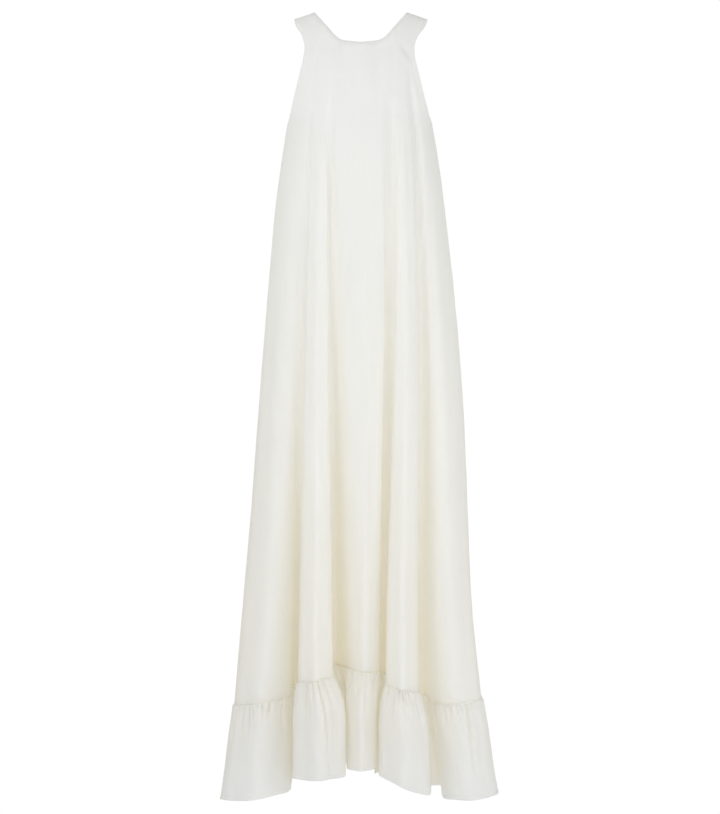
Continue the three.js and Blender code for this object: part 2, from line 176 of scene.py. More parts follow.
# Creases of the bodice, as straight lines on a panel: ends, half-width, depth, all in millimetres.
# A negative depth is a ridge.
BODICE_CREASE = "x0 z0 x1 z1 width depth"
FRONT["bodice_creases"] = table(BODICE_CREASE, [
    [78, -74, 103, -108, 4, 2.6],
    [70, -80, 96, -116, 5, -1.6],
    [98, -110, 118, -178, 8, 2.2],
    [66, -198, 73, -214, 9, 1.4],
    [-40, -132, -27, -166, 11, 1.7],
    [-40, -206, -30, -236, 10, 1.9],
    [-100, -128, -84, -176, 8, 0.9],
    [-70, -96, -92, -126, 8, 0.6],
    [-12, -92, -20, -150, 13, 0.5],
    [30, -88, 44, -150, 12, 0.6],
    [-116, -190, -96, -232, 7, 0.9],
    [118, -182, 104, -226, 7, 0.9],
    [-110, -60, -98, -96, 5, 0.7],
    [20, -170, 6, -214, 12, 0.5],
])
BACK["bodice_creases"] = table(BODICE_CREASE, [
    [-98, -84, -84, -122, 4, 1.5],
    [98, -98, 78, -150, 7, 1.2],
    [-52, -128, -60, -188, 11, 0.9],
    [10, -136, 2, -196, 13, 0.7],
    [58, -132, 66, -186, 9, 0.8],
    [-118, -182, -100, -228, 7, 1],
    [116, -176, 100, -222, 7, 1],
    [34, -196, 42, -240, 9, 0.7],
    [-26, -204, -34, -250, 9, 0.7],
])

# Creases of the skirt. across counts folds from the left side seam, as the tables of folds do, and a
# fold's flanks are 0.4 from its middle. z0 and z1 are heights, width and depth millimetres.
SKIRT_CREASE = "across0 z0 across1 z1 width depth"
FRONT["skirt_creases"] = table(SKIRT_CREASE, [
    [2.15, -150, 2.15, -430, 7, 2.4],
    [2.2, -220, 2.1, -800, 6, 1.6],
    [3.9, -145, 3.8, -430, 6.5, 4],
    [3.75, -230, 3.75, -760, 6, 2.4],
    [6.1, -145, 6, -430, 8, 4],
    [5.9, -240, 5.85, -700, 9, 2.2],
    [8.35, -96, 8.05, -430, 7, 5],
    [8.1, -230, 7.6, -1000, 7, 3.4],
    [2.7, -262, 2.75, -620, 6, 1.6],
    [1.35, -380, 1.3, -800, 9, 1.4],
    [0.75, -520, 0.8, -1010, 12, 1.8],
    [1.1, -640, 1.05, -1210, 13, 1.3],
    [0.6, -900, 0.62, -1270, 9, 1.6],
    [2.95, -700, 2.9, -1180, 9, 1.1],
    [3.2, -420, 3.22, -980, 8, 1.2],
    [3.1, -1010, 3.2, -1236, 7, 1.3],
    [4.7, -300, 4.72, -760, 9, 1.3],
    [5.05, -380, 5.0, -930, 14, 1.1],
    [5.25, -760, 5.2, -1190, 9, 1.4],
    [4.85, -980, 4.78, -1222, 7, 1.3],
    [6.85, -190, 6.87, -560, 5, 1.2],
    [7.2, -210, 7.18, -640, 5, 1.4],
    [7.05, -620, 6.98, -1120, 9, 1.2],
    [6.75, -980, 6.78, -1250, 7, 1.3],
    [7.25, -1060, 7.22, -1255, 6, 1.2],
    [8.7, -300, 8.72, -820, 8, 1.6],
    [9.1, -460, 9.05, -1000, 12, 1.5],
    [9.3, -700, 9.28, -1240, 10, 1.7],
    [8.85, -940, 8.9, -1280, 9, 1.3],
])
BACK["skirt_creases"] = table(SKIRT_CREASE, [
    [0.75, -430, 0.8, -980, 11, 1.6],
    [1.15, -560, 1.1, -1180, 12, 1.4],
    [1.35, -330, 1.3, -760, 8, 1.4],
    [2.75, -280, 2.78, -800, 7, 1.3],
    [3.1, -560, 3.05, -1150, 10, 1.2],
    [3.25, -900, 3.28, -1250, 7, 1.4],
    [4.75, -330, 4.78, -860, 9, 1.2],
    [5.1, -480, 5.02, -1100, 12, 1.2],
    [5.25, -900, 5.2, -1240, 8, 1.3],
    [6.8, -300, 6.82, -740, 7, 1.3],
    [7.1, -600, 7.05, -1180, 10, 1.2],
    [7.25, -980, 7.22, -1255, 7, 1.4],
    [8.8, -420, 8.85, -1020, 10, 1.5],
    [9.2, -640, 9.15, -1230, 11, 1.6],
])

# Main gathers of the ruffle, across as above: depth, half-width and length in millimetres, and how far
# the gather leans to the right on its way down, as a share of its length.
GATHER = "across depth width length lean"
FRONT["gathers"] = table(GATHER, [
    [0.12, 2.2, 6, 90, -0.05],
    [0.38, 2.6, 6, 60, 0.04],
    [0.65, 3, 7, 150, -0.06],
    [0.83, 2.4, 6, 70, 0.03],
    [1.02, 3.2, 6, 58, 0.12],
    [1.14, 2.8, 6, 46, -0.14],
    [1.3, 2.6, 6, 105, 0.05],
    [2.62, 2.4, 5, 60, 0.02],
    [2.77, 2.8, 6, 95, -0.03],
    [2.93, 2.4, 5, 44, 0.04],
    [3.1, 2.6, 5, 66, 0.03],
    [3.1, 4, 5, 260, 0.09],
    [3.24, 3.2, 6, 120, 0.12],
    [3.35, 2.6, 5, 54, 0],
    [4.68, 3.6, 6, 62, -0.28],
    [4.9, 2.2, 6, 48, 0.05],
    [5.08, 2.6, 6, 112, 0.03],
    [5.28, 2.4, 6, 60, 0.06],
    [6.66, 2.2, 4, 48, -0.02],
    [6.76, 2.4, 4, 80, 0],
    [6.87, 2.2, 4, 40, 0],
    [6.96, 2.6, 4, 68, 0.02],
    [7.06, 2.3, 4, 44, 0.04],
    [7.18, 2.6, 5, 92, 0.06],
    [7.28, 3, 6, 150, 0.12],
    [8.64, 2.4, 5, 66, 0.05],
    [8.78, 2.3, 5, 50, 0.04],
    [8.86, 2.5, 5, 42, 0],
    [8.96, 2.3, 5, 72, 0.04],
    [9.05, 2.3, 5, 38, 0],
    [9.15, 3.8, 7, 178, -0.02],
    [9.22, 3, 6, 36, 0.06],
    [9.38, 2.4, 6, 96, 0.03],
    [9.68, 2.4, 6, 64, 0.06],
])
BACK["gathers"] = table(GATHER, [
    [0.15, 2.2, 6, 80, -0.04],
    [0.45, 2.8, 7, 140, 0.03],
    [0.72, 2.5, 6, 56, -0.05],
    [0.92, 3, 6, 96, 0.04],
    [1.12, 2.4, 6, 48, 0.08],
    [1.3, 3.2, 7, 160, -0.03],
    [2.66, 2.6, 5, 84, 0.03],
    [2.82, 2.4, 5, 46, 0],
    [3.0, 2.8, 6, 120, -0.05],
    [3.16, 2.4, 5, 58, 0.05],
    [3.32, 2.8, 5, 74, 0.03],
    [4.66, 2.6, 5, 52, -0.04],
    [4.82, 3, 6, 130, 0.04],
    [5.0, 2.4, 5, 60, 0.02],
    [5.16, 2.6, 6, 88, -0.06],
    [5.34, 2.4, 5, 42, 0.04],
    [6.68, 2.6, 5, 96, 0.02],
    [6.84, 2.4, 5, 50, -0.04],
    [7.0, 3.2, 6, 155, 0.06],
    [7.16, 2.4, 5, 60, 0],
    [7.32, 2.6, 5, 78, 0.05],
    [8.66, 2.4, 6, 62, 0.03],
    [8.84, 3, 6, 118, -0.04],
    [9.02, 2.4, 6, 52, 0.05],
    [9.2, 3.2, 7, 150, 0.03],
    [9.36, 2.6, 6, 70, -0.02],
    [9.7, 2.4, 6, 84, 0.05],
])

# The offsets of a fold's knots from its middle, and how deep in a fold each knot's cloth lies. That depth
# weighs the painted shade, a warmer colour, in the folds, and in a ruffle it leaves less room for the
# puff and the gathers.
KNOTS = {
    "side": [(0, 0.05)],
    "tube": [(-1, 0.42), (-0.62, 0.08), (0, 0), (0.62, 0.08), (1, 0.42)],
    "valley": [(-1, 0.85), (0, 1), (1, 0.85)],
}


# How far a fold's flanks are from its middle, in the count of folds.
FLANK = 0.4


def knots_of():
    """For each knot of a side, left to right: its fold, its offset, its depth, and its place in across."""
    rows = [
        (fold, offset, deep, fold + FLANK * offset)
        for fold, kind in enumerate(KINDS)
        for offset, deep in KNOTS[kind]
    ]
    return table("fold offset deep across", rows)


KNOT = knots_of()
KNOT_FOLD = KNOT["fold"].astype(int)
IS_VALLEY = np.array([KINDS[i] == "valley" for i in KNOT_FOLD])
LAST_KNOT = len(KNOT_FOLD) - 1
# Fine steps along the knots, 20 from each to the next.
FINE_KNOTS = np.linspace(0, LAST_KNOT, 20 * LAST_KNOT + 1)
# How slowly the painted shade of the folds, a warmer colour, sets in on the way down.
FOLD_SHADE_POWER = 1.7


def mix(a, b, t):
    return a + (b - a) * t


def smooth(t):
    """0 to 1 along a soft step, for t from 0 to 1."""
    t = np.clip(t, 0, 1)
    return t * t * (3 - 2 * t)


def read(rows, name, by, at):
    """A named column of some rows, read between them by a smooth curve along the column by."""
    order = np.argsort(rows[by])
    along, value = rows[by][order], rows[name][order]
    last = len(along) - 1
    i = np.clip(np.searchsorted(along, at, side="left") - 1, 0, last - 1)
    here = np.arange(last + 1)
    before, after = np.maximum(here - 1, 0), np.minimum(here + 1, last)
    slope = (value[after] - value[before]) / (along[after] - along[before])
    step = along[i + 1] - along[i]
    t = np.clip((at - along[i]) / step, 0, 1)
    rise = value[i + 1] - value[i]
    a = slope[i] * step - rise
    b = -slope[i + 1] * step + rise
    return value[i] + rise * t + t * (1 - t) * mix(a, b, t)


def through(points, k):
    """Catmull-Rom values at the positions k along the last axis of an array."""
    last = points.shape[-1] - 1
    i = np.minimum(last - 1, np.floor(k).astype(int))
    t = k - i
    a, b, c, d = (points[..., np.clip(i + n, 0, last)] for n in (-1, 0, 1, 2))
    return b + 0.5 * t * (c - a + t * (2 * a - 5 * b + 4 * c - d + t * (3 * (b - c) + d - a)))


def oval_share(x, half_width):
    """How far the figure's oval stands out at x, from 0 at its side to 1 in the middle."""
    return (1 - np.minimum(1, np.abs(x) / half_width) ** OVAL) ** (1 / OVAL)


def shoulder_z(x):
    """Where the cloth would turn over the shoulder at x, were it not cut."""
    across = np.abs(x)
    over_neck = NECK_RISE * (1 - (across / STRAP_IN) ** 2)
    over_strap = -STRAP_DROP * (across - STRAP_IN) / (STRAP_OUT - STRAP_IN)
    return np.where(across < STRAP_IN, over_neck, over_strap)


def side_edge(x, z):
    return np.where(x < 0, read(SECTIONS, "left", "z", z), read(SECTIONS, "right", "z", z))


def stand_out(side, x, z):
    """How far the unfolded cloth stands out from the shoulders' plane."""
    edge = side_edge(x, z)
    figure = np.maximum(read(SECTIONS, "figure", "z", z), edge)
    half_width = np.where(z > UNDERARM_Z, figure, edge)
    flat = read(SECTIONS, side["name"], "z", z) * oval_share(x, half_width)
    climb = np.clip((z - CHEST_Z) / (shoulder_z(x) - CHEST_Z), 0, 1)
    return flat * np.sqrt(1 - climb * climb)


def placed(rows, outward):
    """Every knot's x, overhang, y and z at a table of folds or hems."""
    row = {name: column[KNOT_FOLD] for name, column in rows.items()}
    offset = KNOT["offset"]
    bend = offset**2 * row["round"] * np.where(IS_VALLEY, -1, 1)
    overhang = np.where(np.abs(offset) == 1, np.sign(offset) * row["bulge"], 0)
    x = row["x"] + offset * row["half"]
    return x, overhang, row["y"] - outward * bend, row["z"] + offset * row["tilt"]


def skirt_rings(side, k, g):
    """Rings of the skirt at the shares g of the way from the chest line to the knee seam, and how deep
    in a fold their points lie, which weighs their painted fold shade."""
    folds = side["folds"]
    outward = side["outward"]
    seam_x, overhang, seam_y, seam_z = placed(folds, outward)
    top, spread, start, grow = (folds[n][KNOT_FOLD] for n in ("top", "spread", "start", "grow"))
    g = g[:, None]
    z = mix(CHEST_Z, seam_z, g)
    down = np.clip((start - z) / (start - seam_z), 0, 1)
    drift, depth = down**DRIFT, down**grow
    left = seam_x < 0
    end_top = np.where(left, abs(folds["top"][0]), folds["top"][-1])
    end_x = np.where(left, abs(folds["x"][0]), folds["x"][-1])
    share = mix((top + KNOT["offset"] * spread) / end_top, seam_x / end_x, drift)
    x = through(side_edge(seam_x, z) * share + overhang * depth, k)
    grown = read(SECTIONS, side["name"], "z", z) / read(SECTIONS, side["name"], "z", seam_z)
    z = through(z, k)
    y = mix(outward * stand_out(side, x, z), through(seam_y * grown, k), through(depth, k))
    rings = np.stack([x, y, z], axis=-1)
    # Painted shade: how much of the folds' warmer colour each point gets.
    deep = through(KNOT["deep"] * down**FOLD_SHADE_POWER, k)
    return rings, np.clip(deep, 0, 1)


def bodice_rows(side, k, chest_x, corner, ups):
    """Rows above the chest line, at the shares ups of the way to the neckline or the shoulders."""
    up = ups[:, None]
    foot = np.abs(chest_x)[None, :]
    sign = np.where(chest_x < 0, -1, 1)[None, :]
    from_edge = np.minimum(k, LAST_KNOT - k)[None, :]
    corner_x = np.where(sign < 0, corner[0], corner[1])
    end_x = np.where(sign < 0, abs(chest_x[0]), abs(chest_x[-1]))
    top_x = sign * STRAP_IN * foot / corner_x
    neck_x = mix(chest_x[None, :], top_x, up)
    neck_z = mix(CHEST_Z, read(side["neckline"], "z", "x", np.minimum(np.abs(top_x), STRAP_IN)), up)
    across = 1 - from_edge / STRAP_KNOT
    strap_z = mix(CHEST_Z, shoulder_z(mix(STRAP_IN, STRAP_OUT, across)), up)
    armhole = side_edge(sign, strap_z)
    if side["name"] == "back":
        armhole = armhole - read(SECTIONS, "inset", "z", strap_z)
    outer = mix(armhole, STRAP_OUT, up**STRAP_FLARE)
    share = (foot - corner_x) / (end_x - corner_x)
    strap_x = sign * mix(mix(corner_x, STRAP_IN, up), outer, mix(share, across, up))
    on_neck = from_edge > STRAP_KNOT
    x = np.where(on_neck, neck_x, strap_x)
    z = np.where(on_neck, neck_z, strap_z)
    y = stand_out(side, x, z)
    y = side["outward"] * np.where(on_neck | (up < 1), y, SEAM_GAP / 2)
    return np.stack([x + STRAP_SHIFT * up, y, z], axis=-1)


def spread_columns(weights, stops, count):
    """Positions along the knots, spread by the weights of the fine knots, with the stops among them."""
    total = np.concatenate([[0], np.cumsum((weights[1:] + weights[:-1]) / 2)])
    total /= total[-1]
    parts = []
    for a, b in zip(stops[:-1], stops[1:], strict=True):
        low, high = np.interp([a, b], FINE_KNOTS, total)
        steps = max(2, round((high - low) * count))
        inside = np.interp(np.linspace(low, high, steps + 1), total, FINE_KNOTS)
        inside[0], inside[-1] = a, b
        parts.append(inside[:-1])
    return np.concatenate([*parts, [stops[-1]]])


def run_lengths(ring):
    """How far along a ring of points each one lies."""
    steps = np.linalg.norm(np.diff(ring, axis=-2), axis=-1)
    zero = np.zeros((*steps.shape[:-1], 1))
    return np.concatenate([zero, np.cumsum(steps, axis=-1)], axis=-1)


def normals_of(grid, outward):
    """Unit normals of a grid, away from the wearer."""
    across = np.gradient(grid, axis=1)
    along = -np.gradient(grid, axis=0)
    normal = np.cross(across, along) * -outward
    return normal / np.maximum(np.linalg.norm(normal, axis=-1, keepdims=True), TINY)


def segment_distance(points, path):
    """How far each point is from a path of straight pieces."""
    start, leg = path[:-1], np.diff(path, axis=0)
    length2 = np.maximum((leg**2).sum(axis=1), TINY_SQUARED)
    best = np.full(len(points), np.inf)
    for a, d, l2 in zip(start, leg, length2, strict=True):
        t = np.clip((points - a) @ d / l2, 0, 1)[:, None]
        best = np.minimum(best, np.linalg.norm(points - a - t * d, axis=1))
    return best


# How far at most the waves of a ripple slant, how much taller than long they are, and how far their two
# phases differ.
RIPPLE_LEAN = 0.35
RIPPLE_TALLER = (4, 7)
RIPPLE_SHIFT = 1.7


def ripple(along, z, seed, sizes):
    """A soft uneven surface: a few slanted waves of the given lengths, from -1 to 1."""
    rng = np.random.default_rng(seed)
    total = np.zeros(np.broadcast(along, z).shape)
    for size in sizes:
        lean, phase = rng.uniform(-RIPPLE_LEAN, RIPPLE_LEAN), rng.uniform(0, 2 * math.pi)
        tall = size * rng.uniform(*RIPPLE_TALLER)
        wave = np.sin(2 * math.pi * (along / size + lean * z / size) + phase)
        total += wave * np.cos(2 * math.pi * z / tall + phase * RIPPLE_SHIFT)
    return total / len(sizes)


# How creases fade in at their start and out at their end, as shares of their length, and how far beyond
# their ends they reach.
BODICE_ENDS = {"start": 0.4, "end": 0.5, "beyond": 0.15}
SKIRT_ENDS = {"start": 0.25, "end": 0.4, "beyond": 0}


def crease_ends(t, start, end, beyond):
    """The share of a crease's depth at t, which goes from 0 at its start to 1 at its end."""
    return smooth((t + beyond) / start) * smooth((1 + beyond - t) / end)


def bodice_crease_depth(creases, grid):
    """How far the bodice's creases press in, for creases given as lines in x and z."""
    x, z = grid[..., 0], grid[..., 2]
    depth = np.zeros(x.shape)
    for x0, z0, x1, z1, width, deep in zip(*creases.values(), strict=True):
        length = math.hypot(x1 - x0, z1 - z0)
        tx, tz = (x1 - x0) / length, (z1 - z0) / length
        t = ((x - x0) * tx + (z - z0) * tz) / length
        off = (x - x0) * tz - (z - z0) * tx
        depth += deep * crease_ends(t, **BODICE_ENDS) * np.exp(-((off / width) ** 2))
    return depth


def skirt_crease_depth(creases, k, run, z):
    """How far the skirt's creases press in, for creases given by the folds that they run along."""
    depth = np.zeros(z.shape)
    rows = np.arange(len(z))
    for a0, z0, a1, z1, width, deep in zip(*creases.values(), strict=True):
        t = (z0 - z) / (z0 - z1)
        down = np.clip(t.mean(axis=1), 0, 1)
        centre_k = np.interp(mix(a0, a1, down), KNOT["across"], np.arange(LAST_KNOT + 1))
        centre = np.array([np.interp(centre_k[r], k, run[r]) for r in rows])[:, None]
        depth += deep * crease_ends(t, **SKIRT_ENDS) * np.exp(-(((run - centre) / width) ** 2))
    return depth


# How many columns a tight bend is looked for over, and how strongly it eases a press.
BEND_REACH = 3
BEND_EASE = 1.2


def windows(values, reach):
    """Every value's neighbours along its row, as one more axis."""
    padded = np.pad(values, ((0, 0), (reach, reach)), mode="edge")
    return np.lib.stride_tricks.sliding_window_view(padded, 2 * reach + 1, axis=1)


def eased(press, grid, outward):
    """Presses made shallower where the cloth is bent tightly outwards, so that it never crosses itself."""
    step = np.gradient(grid, axis=1)
    turn = np.gradient(normals_of(grid, outward), axis=1)
    bend = np.maximum((turn * step).sum(axis=-1) / np.maximum((step**2).sum(axis=-1), TINY), 0)
    bend = windows(windows(bend, BEND_REACH).max(axis=-1), 2 * BEND_REACH).mean(axis=-1)
    return press / (1 + BEND_EASE * np.maximum(press, 0) * bend)


# A panel's grid: its columns, and its rows from the neckline to the chest, to the underarm, down the
# skirt and in the last stretch above the knee seam. Lengths are millimetres here and below.
PANEL_COLUMNS = 292
BODICE_ROWS = 26
YOKE_ROWS = 18
SKIRT_ROWS = 92
SEAM_ROWS = 14
SEAM_STRETCH = 40.0
SEAM_CROWDING = 0.7
# The columns are spread by the rings at the chest line and at this share of the way down, which counts
# for more.
LOW_RING = 0.8
LOW_RING_WEIGHT = 1.5
# Soft waves in the cloth: their lengths and their depths, and how far below the underarm the skirt's
# own waves take to set in.
SKIRT_WAVES = [47, 71, 103]
SKIRT_WAVE_DEPTH = 0.55
SKIRT_WAVE_EASE = 260.0
PANEL_WAVES = [38, 61]
PANEL_WAVE_DEPTH = 0.3
# How near the side seams and the open edges the creases fade.
SEAM_FADE = 10.0
EDGE_FADE = 5.0
# The open edges roll in, and the neckline stands up a little. Both fade towards the shoulder seams, at
# the neckline over another length than at the armholes, and the rolls fade at the underarm.
EDGE_SEARCH = 30.0
ROLL_SHARE = 0.85
NECK_REACH = 16.0
NECK_LIFT = 4.2
NECK_LIFT_REACH = 20.0
SHOULDER_CLEAR = 8.0
NECK_FADE = 62.0
ARMHOLE_FADE = 32.0
UNDERARM_FADE = 12.0
# Painted shade just above the knee seam, as the folds' warmer colour: its share and how far up it
# reaches.
SEAM_SHADE = 0.35
SEAM_SHADE_REACH = 2.0


def edge_roll(away, radius):
    """How far a rolled edge goes in, at a distance from it."""
    t = np.clip(1 - away / radius, 0, 1)
    return radius * (1 - np.sqrt(1 - t * t))


def panel_grid(side, sizes):
    """A panel's outer face from the neckline and shoulders to the knee seam, its cloth coordinates, how
    deep in the folds it lies, which weighs its painted fold shade, and its columns' places along the
    knots."""
    outward = side["outward"]
    sample = skirt_rings(side, FINE_KNOTS, np.array([0.0, LOW_RING]))[0]
    steps = np.linalg.norm(np.gradient(sample, axis=1), axis=-1)
    weights = steps[0] / steps[0].sum() + LOW_RING_WEIGHT * steps[1] / steps[1].sum()
    k = spread_columns(weights, [0, STRAP_KNOT, LAST_KNOT - STRAP_KNOT, LAST_KNOT], PANEL_COLUMNS)
    heights = np.concatenate(
        [
            np.linspace(CHEST_Z, UNDERARM_Z, YOKE_ROWS, endpoint=False),
            np.linspace(UNDERARM_Z, LOWEST_Z + SEAM_STRETCH, SKIRT_ROWS, endpoint=False),
            LOWEST_Z + SEAM_STRETCH * (1 - np.linspace(0, 1, SEAM_ROWS) ** SEAM_CROWDING),
        ]
    )
    skirt, deep = skirt_rings(side, k, (heights - CHEST_Z) / (LOWEST_Z - CHEST_Z))
    chest_x = skirt[0, :, 0]
    corner = np.abs(np.interp([STRAP_KNOT, LAST_KNOT - STRAP_KNOT], k, chest_x))
    ups = np.sin((1 - np.arange(BODICE_ROWS) / BODICE_ROWS) * math.pi / 2)
    bodice = bodice_rows(side, k, chest_x, corner, ups)
    grid = np.concatenate([bodice, skirt])
    deep = np.concatenate([np.zeros(bodice.shape[:2]), deep])

    run = run_lengths(grid)
    z = grid[..., 2]
    skirt_share = smooth((UNDERARM_Z - z) / SKIRT_WAVE_EASE)
    press = bodice_crease_depth(side["bodice_creases"], grid)
    press += skirt_crease_depth(side["skirt_creases"], k, run, z)
    press += SKIRT_WAVE_DEPTH * skirt_share * ripple(run, z, side["seed"], SKIRT_WAVES)
    press += PANEL_WAVE_DEPTH * ripple(run, z, side["seed"] + 1, PANEL_WAVES)
    press += seam_puckers(side, run, z, grid[-1, :, 2][None, :])

    above = z[:, 0] > UNDERARM_Z - 1
    near = z > UNDERARM_Z - EDGE_SEARCH

    def from_path(path):
        away = np.full(z.shape, np.inf)
        away[near] = segment_distance(grid[near], path)
        return away

    from_neck = from_path(grid[0, np.minimum(k, LAST_KNOT - k) >= STRAP_KNOT])
    from_armhole = np.minimum(from_path(grid[above, 0]), from_path(grid[above, -1]))
    roll = np.maximum(
        edge_roll(from_neck, sizes.neck_roll / MM), edge_roll(from_armhole, sizes.armhole_roll / MM)
    )
    from_shoulder = np.abs(grid[..., 1])
    neck_share = smooth((from_shoulder - SHOULDER_CLEAR) / NECK_FADE)
    share = np.where(from_neck < NECK_REACH, neck_share, smooth(from_shoulder / ARMHOLE_FADE))
    roll *= smooth((z - UNDERARM_Z) / UNDERARM_FADE) * share
    lift = NECK_LIFT * smooth(1 - from_neck / NECK_LIFT_REACH) * neck_share
    pinned = smooth(np.minimum(run, run[:, -1:] - run) / SEAM_FADE)
    press *= np.where(z < UNDERARM_Z, pinned, 1) * smooth(np.minimum(from_neck, from_armhole) / EDGE_FADE)
    press = eased(press, grid, outward)
    grid = grid - normals_of(grid, outward) * (press + ROLL_SHARE * roll)[..., None]
    grid[..., 2] += lift
    for column in (0, -1):
        grid[~above, column, 1] = outward * SEAM_GAP / 2

    centre = np.array([np.interp(LAST_KNOT / 2, k, row) for row in run])[:, None]
    uv = np.stack([(run - centre) * MM, z * MM], axis=-1)
    # Painted shade along the seam line, as the folds' warmer colour just above the knee seam.
    deep = np.maximum(deep, SEAM_SHADE * np.exp(-(z - z[-1]) / SEAM_SHADE_REACH))
    return grid, uv, deep, k


# Ranges of the puckers above the knee seam: how tall, deep and wide they are, and how far apart.
PUCKER_HEIGHT = (6, 26)
PUCKER_DEPTH = (0.25, 0.8)
PUCKER_WIDTH = (2.2, 4)
PUCKER_STEP = (9, 19)
PUCKER_MARGIN = 6.0
# Above this height they fade away over the ease.
PUCKER_TOP = 60.0
PUCKER_EASE = 30.0
# The raised line just above the seam.
RIDGE_HEIGHT = 0.5
RIDGE_TOP = 6.0
RIDGE_EASE = 3.0


def seam_puckers(side, run, z, seam_z):
    """Small puckers and the raised line of the panel's cloth just above the knee seam."""
    above = z - seam_z
    rng = np.random.default_rng(side["seed"] + 5)
    total = np.zeros(z.shape)
    place = PUCKER_MARGIN
    while place < run[-1, -1] - PUCKER_MARGIN:
        tall = rng.uniform(*PUCKER_HEIGHT)
        deep = rng.uniform(*PUCKER_DEPTH)
        width = rng.uniform(*PUCKER_WIDTH)
        total += deep * np.exp(-(((run - place) / width) ** 2)) * np.exp(-above / tall)
        place += rng.uniform(*PUCKER_STEP)
    ridge = RIDGE_HEIGHT * smooth((RIDGE_TOP - above) / RIDGE_EASE)
    return total * smooth((PUCKER_TOP - above) / PUCKER_EASE) - ridge


# How far in the added rows and columns of a turned edge lie.
SIDE_TURNS = (2.2, 6.5)
NECK_TURNS = (2.0, 6.0)
# An armhole's turned edge goes back and a little sideways, the neckline's back and a little down. Near
# the shoulder's plane there is less room for them.
ARMHOLE_LEAN = 0.3
TURN_BACK = 0.95
FACING_DROP = 0.3
TURN_CLEAR = 1.0
TURN_ROOM = 14.0
# The way in changes from an armhole's to a side seam's over this height around the underarm.
TURN_CHANGE = 12.0
# How wide, along the knots, the corner between neckline and shoulder is.
CORNER_KNOTS = 0.6
# The last rows of a panel curl in over the ruffle's top, by these shares of the cloth's thickness.
LOWER_CURL = ((-1, 0.45), (-2, 0.12))


def turned_sides(grid, uv, deep, way_in):
    """The cloth with its side edges turned in, by two more columns at each side. way_in tells the way for
    an edge, its sign and how far in the column lies."""
    added = []
    for column, sign in ((0, -1), (-1, 1)):
        edge = grid[:, column]
        points = np.stack([edge + way_in(edge, sign, turn) for turn in SIDE_TURNS], axis=1)
        places = np.stack([uv[:, column] + [sign * turn * MM, 0] for turn in SIDE_TURNS], axis=1)
        added.append((points, places))
    (left, left_uv), (right, right_uv) = added
    grid = np.concatenate([left[:, ::-1], grid, right], axis=1)
    uv = np.concatenate([left_uv[:, ::-1], uv, right_uv], axis=1)
    return grid, uv, np.pad(deep, ((0, 0), (2, 2)), mode="edge")


def turned_panel(side, sizes, grid, uv, deep, k):
    """The panel with its edges turned in: facings at the neckline and armholes, and seam allowances."""
    outward = side["outward"]

    def way_in(edge, sign, turn):
        below = smooth((UNDERARM_Z + TURN_CHANGE / 2 - edge[:, 2]) / TURN_CHANGE)[:, None]
        inward = np.array([-sign, 0.0, 0.0]) * below
        inward = inward + np.array([-sign * ARMHOLE_LEAN, -outward * TURN_BACK, 0.0]) * (1 - below)
        room = np.where(below > 0.5, 1, smooth((np.abs(edge[:, 1:2]) - TURN_CLEAR) / TURN_ROOM))
        return inward * turn * room

    grid, uv, deep = turned_sides(grid, uv, deep, way_in)
    # The neckline's facing and the shoulders' seam allowance are two more rows at the top.
    k = np.concatenate([[0, 0], k, [LAST_KNOT, LAST_KNOT]])
    from_edge = np.minimum(k, LAST_KNOT - k)
    neck = smooth((from_edge - STRAP_KNOT) / CORNER_KNOTS)[:, None]
    facing = np.array([0.0, -outward * TURN_BACK, -FACING_DROP])
    outer = np.clip(1 - from_edge / STRAP_KNOT, 0, 1)
    sign = np.where(k < LAST_KNOT / 2, -1, 1)
    allowance = np.stack([-sign * outer, np.zeros(len(k)), -np.ones(len(k))], axis=-1)
    inward = mix(allowance, facing, neck)
    turns = NECK_TURNS[::-1]
    grid = np.concatenate([*((grid[0] + inward * turn)[None] for turn in turns), grid])
    uv = np.concatenate([*((uv[0] + [0, turn * MM])[None] for turn in turns), uv])
    deep = np.pad(deep, ((2, 0), (0, 0)), mode="edge")
    normal = normals_of(grid, outward)
    for row, share in LOWER_CURL:
        grid[row] -= normal[row] * (sizes.panel_cloth / MM) * share
    return grid, uv, deep


# A ruffle's grid: its columns, and its rows as shares of the way down.
RUFFLE_COLUMNS = 1010
RUFFLE_LEVELS = np.concatenate(
    [
        np.linspace(0, 0.1, 12, endpoint=False),
        np.linspace(0.1, 0.4, 12, endpoint=False),
        np.linspace(0.4, 0.94, 12, endpoint=False),
        np.linspace(0.94, 1, 7),
    ]
)
RUFFLE_HEIGHT = 180.0
# The level whose length stands for the cloth's, and how much longer the flat strip is.
MEAN_LEVEL = 0.35
FULLNESS = 1.45
# The top is tucked in under the panel's edge by TUCK_DEPTH, ends TUCK above the seam, and comes out over
# TUCK_REACH.
TUCK = 4.0
TUCK_DEPTH = 4.2
TUCK_START = 0.4
TUCK_REACH = 3.6
CROWN_INSET = 0.6
# Below the seam the ruffle puffs out. In the valleys it has less room for the puff and for the gathers.
SEAM_PUFF = 2.4
PUFF_PEAK = 0.15
VALLEY_ROOM = 0.3
VALLEY_PUFF = 0.5
RUFFLE_WAVES = [31, 44, 67]
RUFFLE_WAVE_DEPTH = 1.3
RUFFLE_WAVE_EASE = 60.0
SIDE_FADE = 14.0
# The turned hem is a double band that steps out over HEM_EASE, with a groove under its stitches.
HEM_STEP = 0.45
HEM_OFFSET = 0.4
HEM_EASE = 1.2
HEM_EXTRA = 0.7
GROOVE_DEPTH = 0.3
GROOVE_WIDTH = 0.9
STITCH_LIFT = 0.12
# How many columns at each side have no stitches.
STITCH_MARGIN = 4
# Painted shade in the gathers and just below the seam, as the folds' warmer colour: its share, the
# gather depth that has all of it, and how far it reaches down.
GATHER_SHADE = 0.6
FULL_GATHER = 5.0
GATHER_SHADE_REACH = 3.0


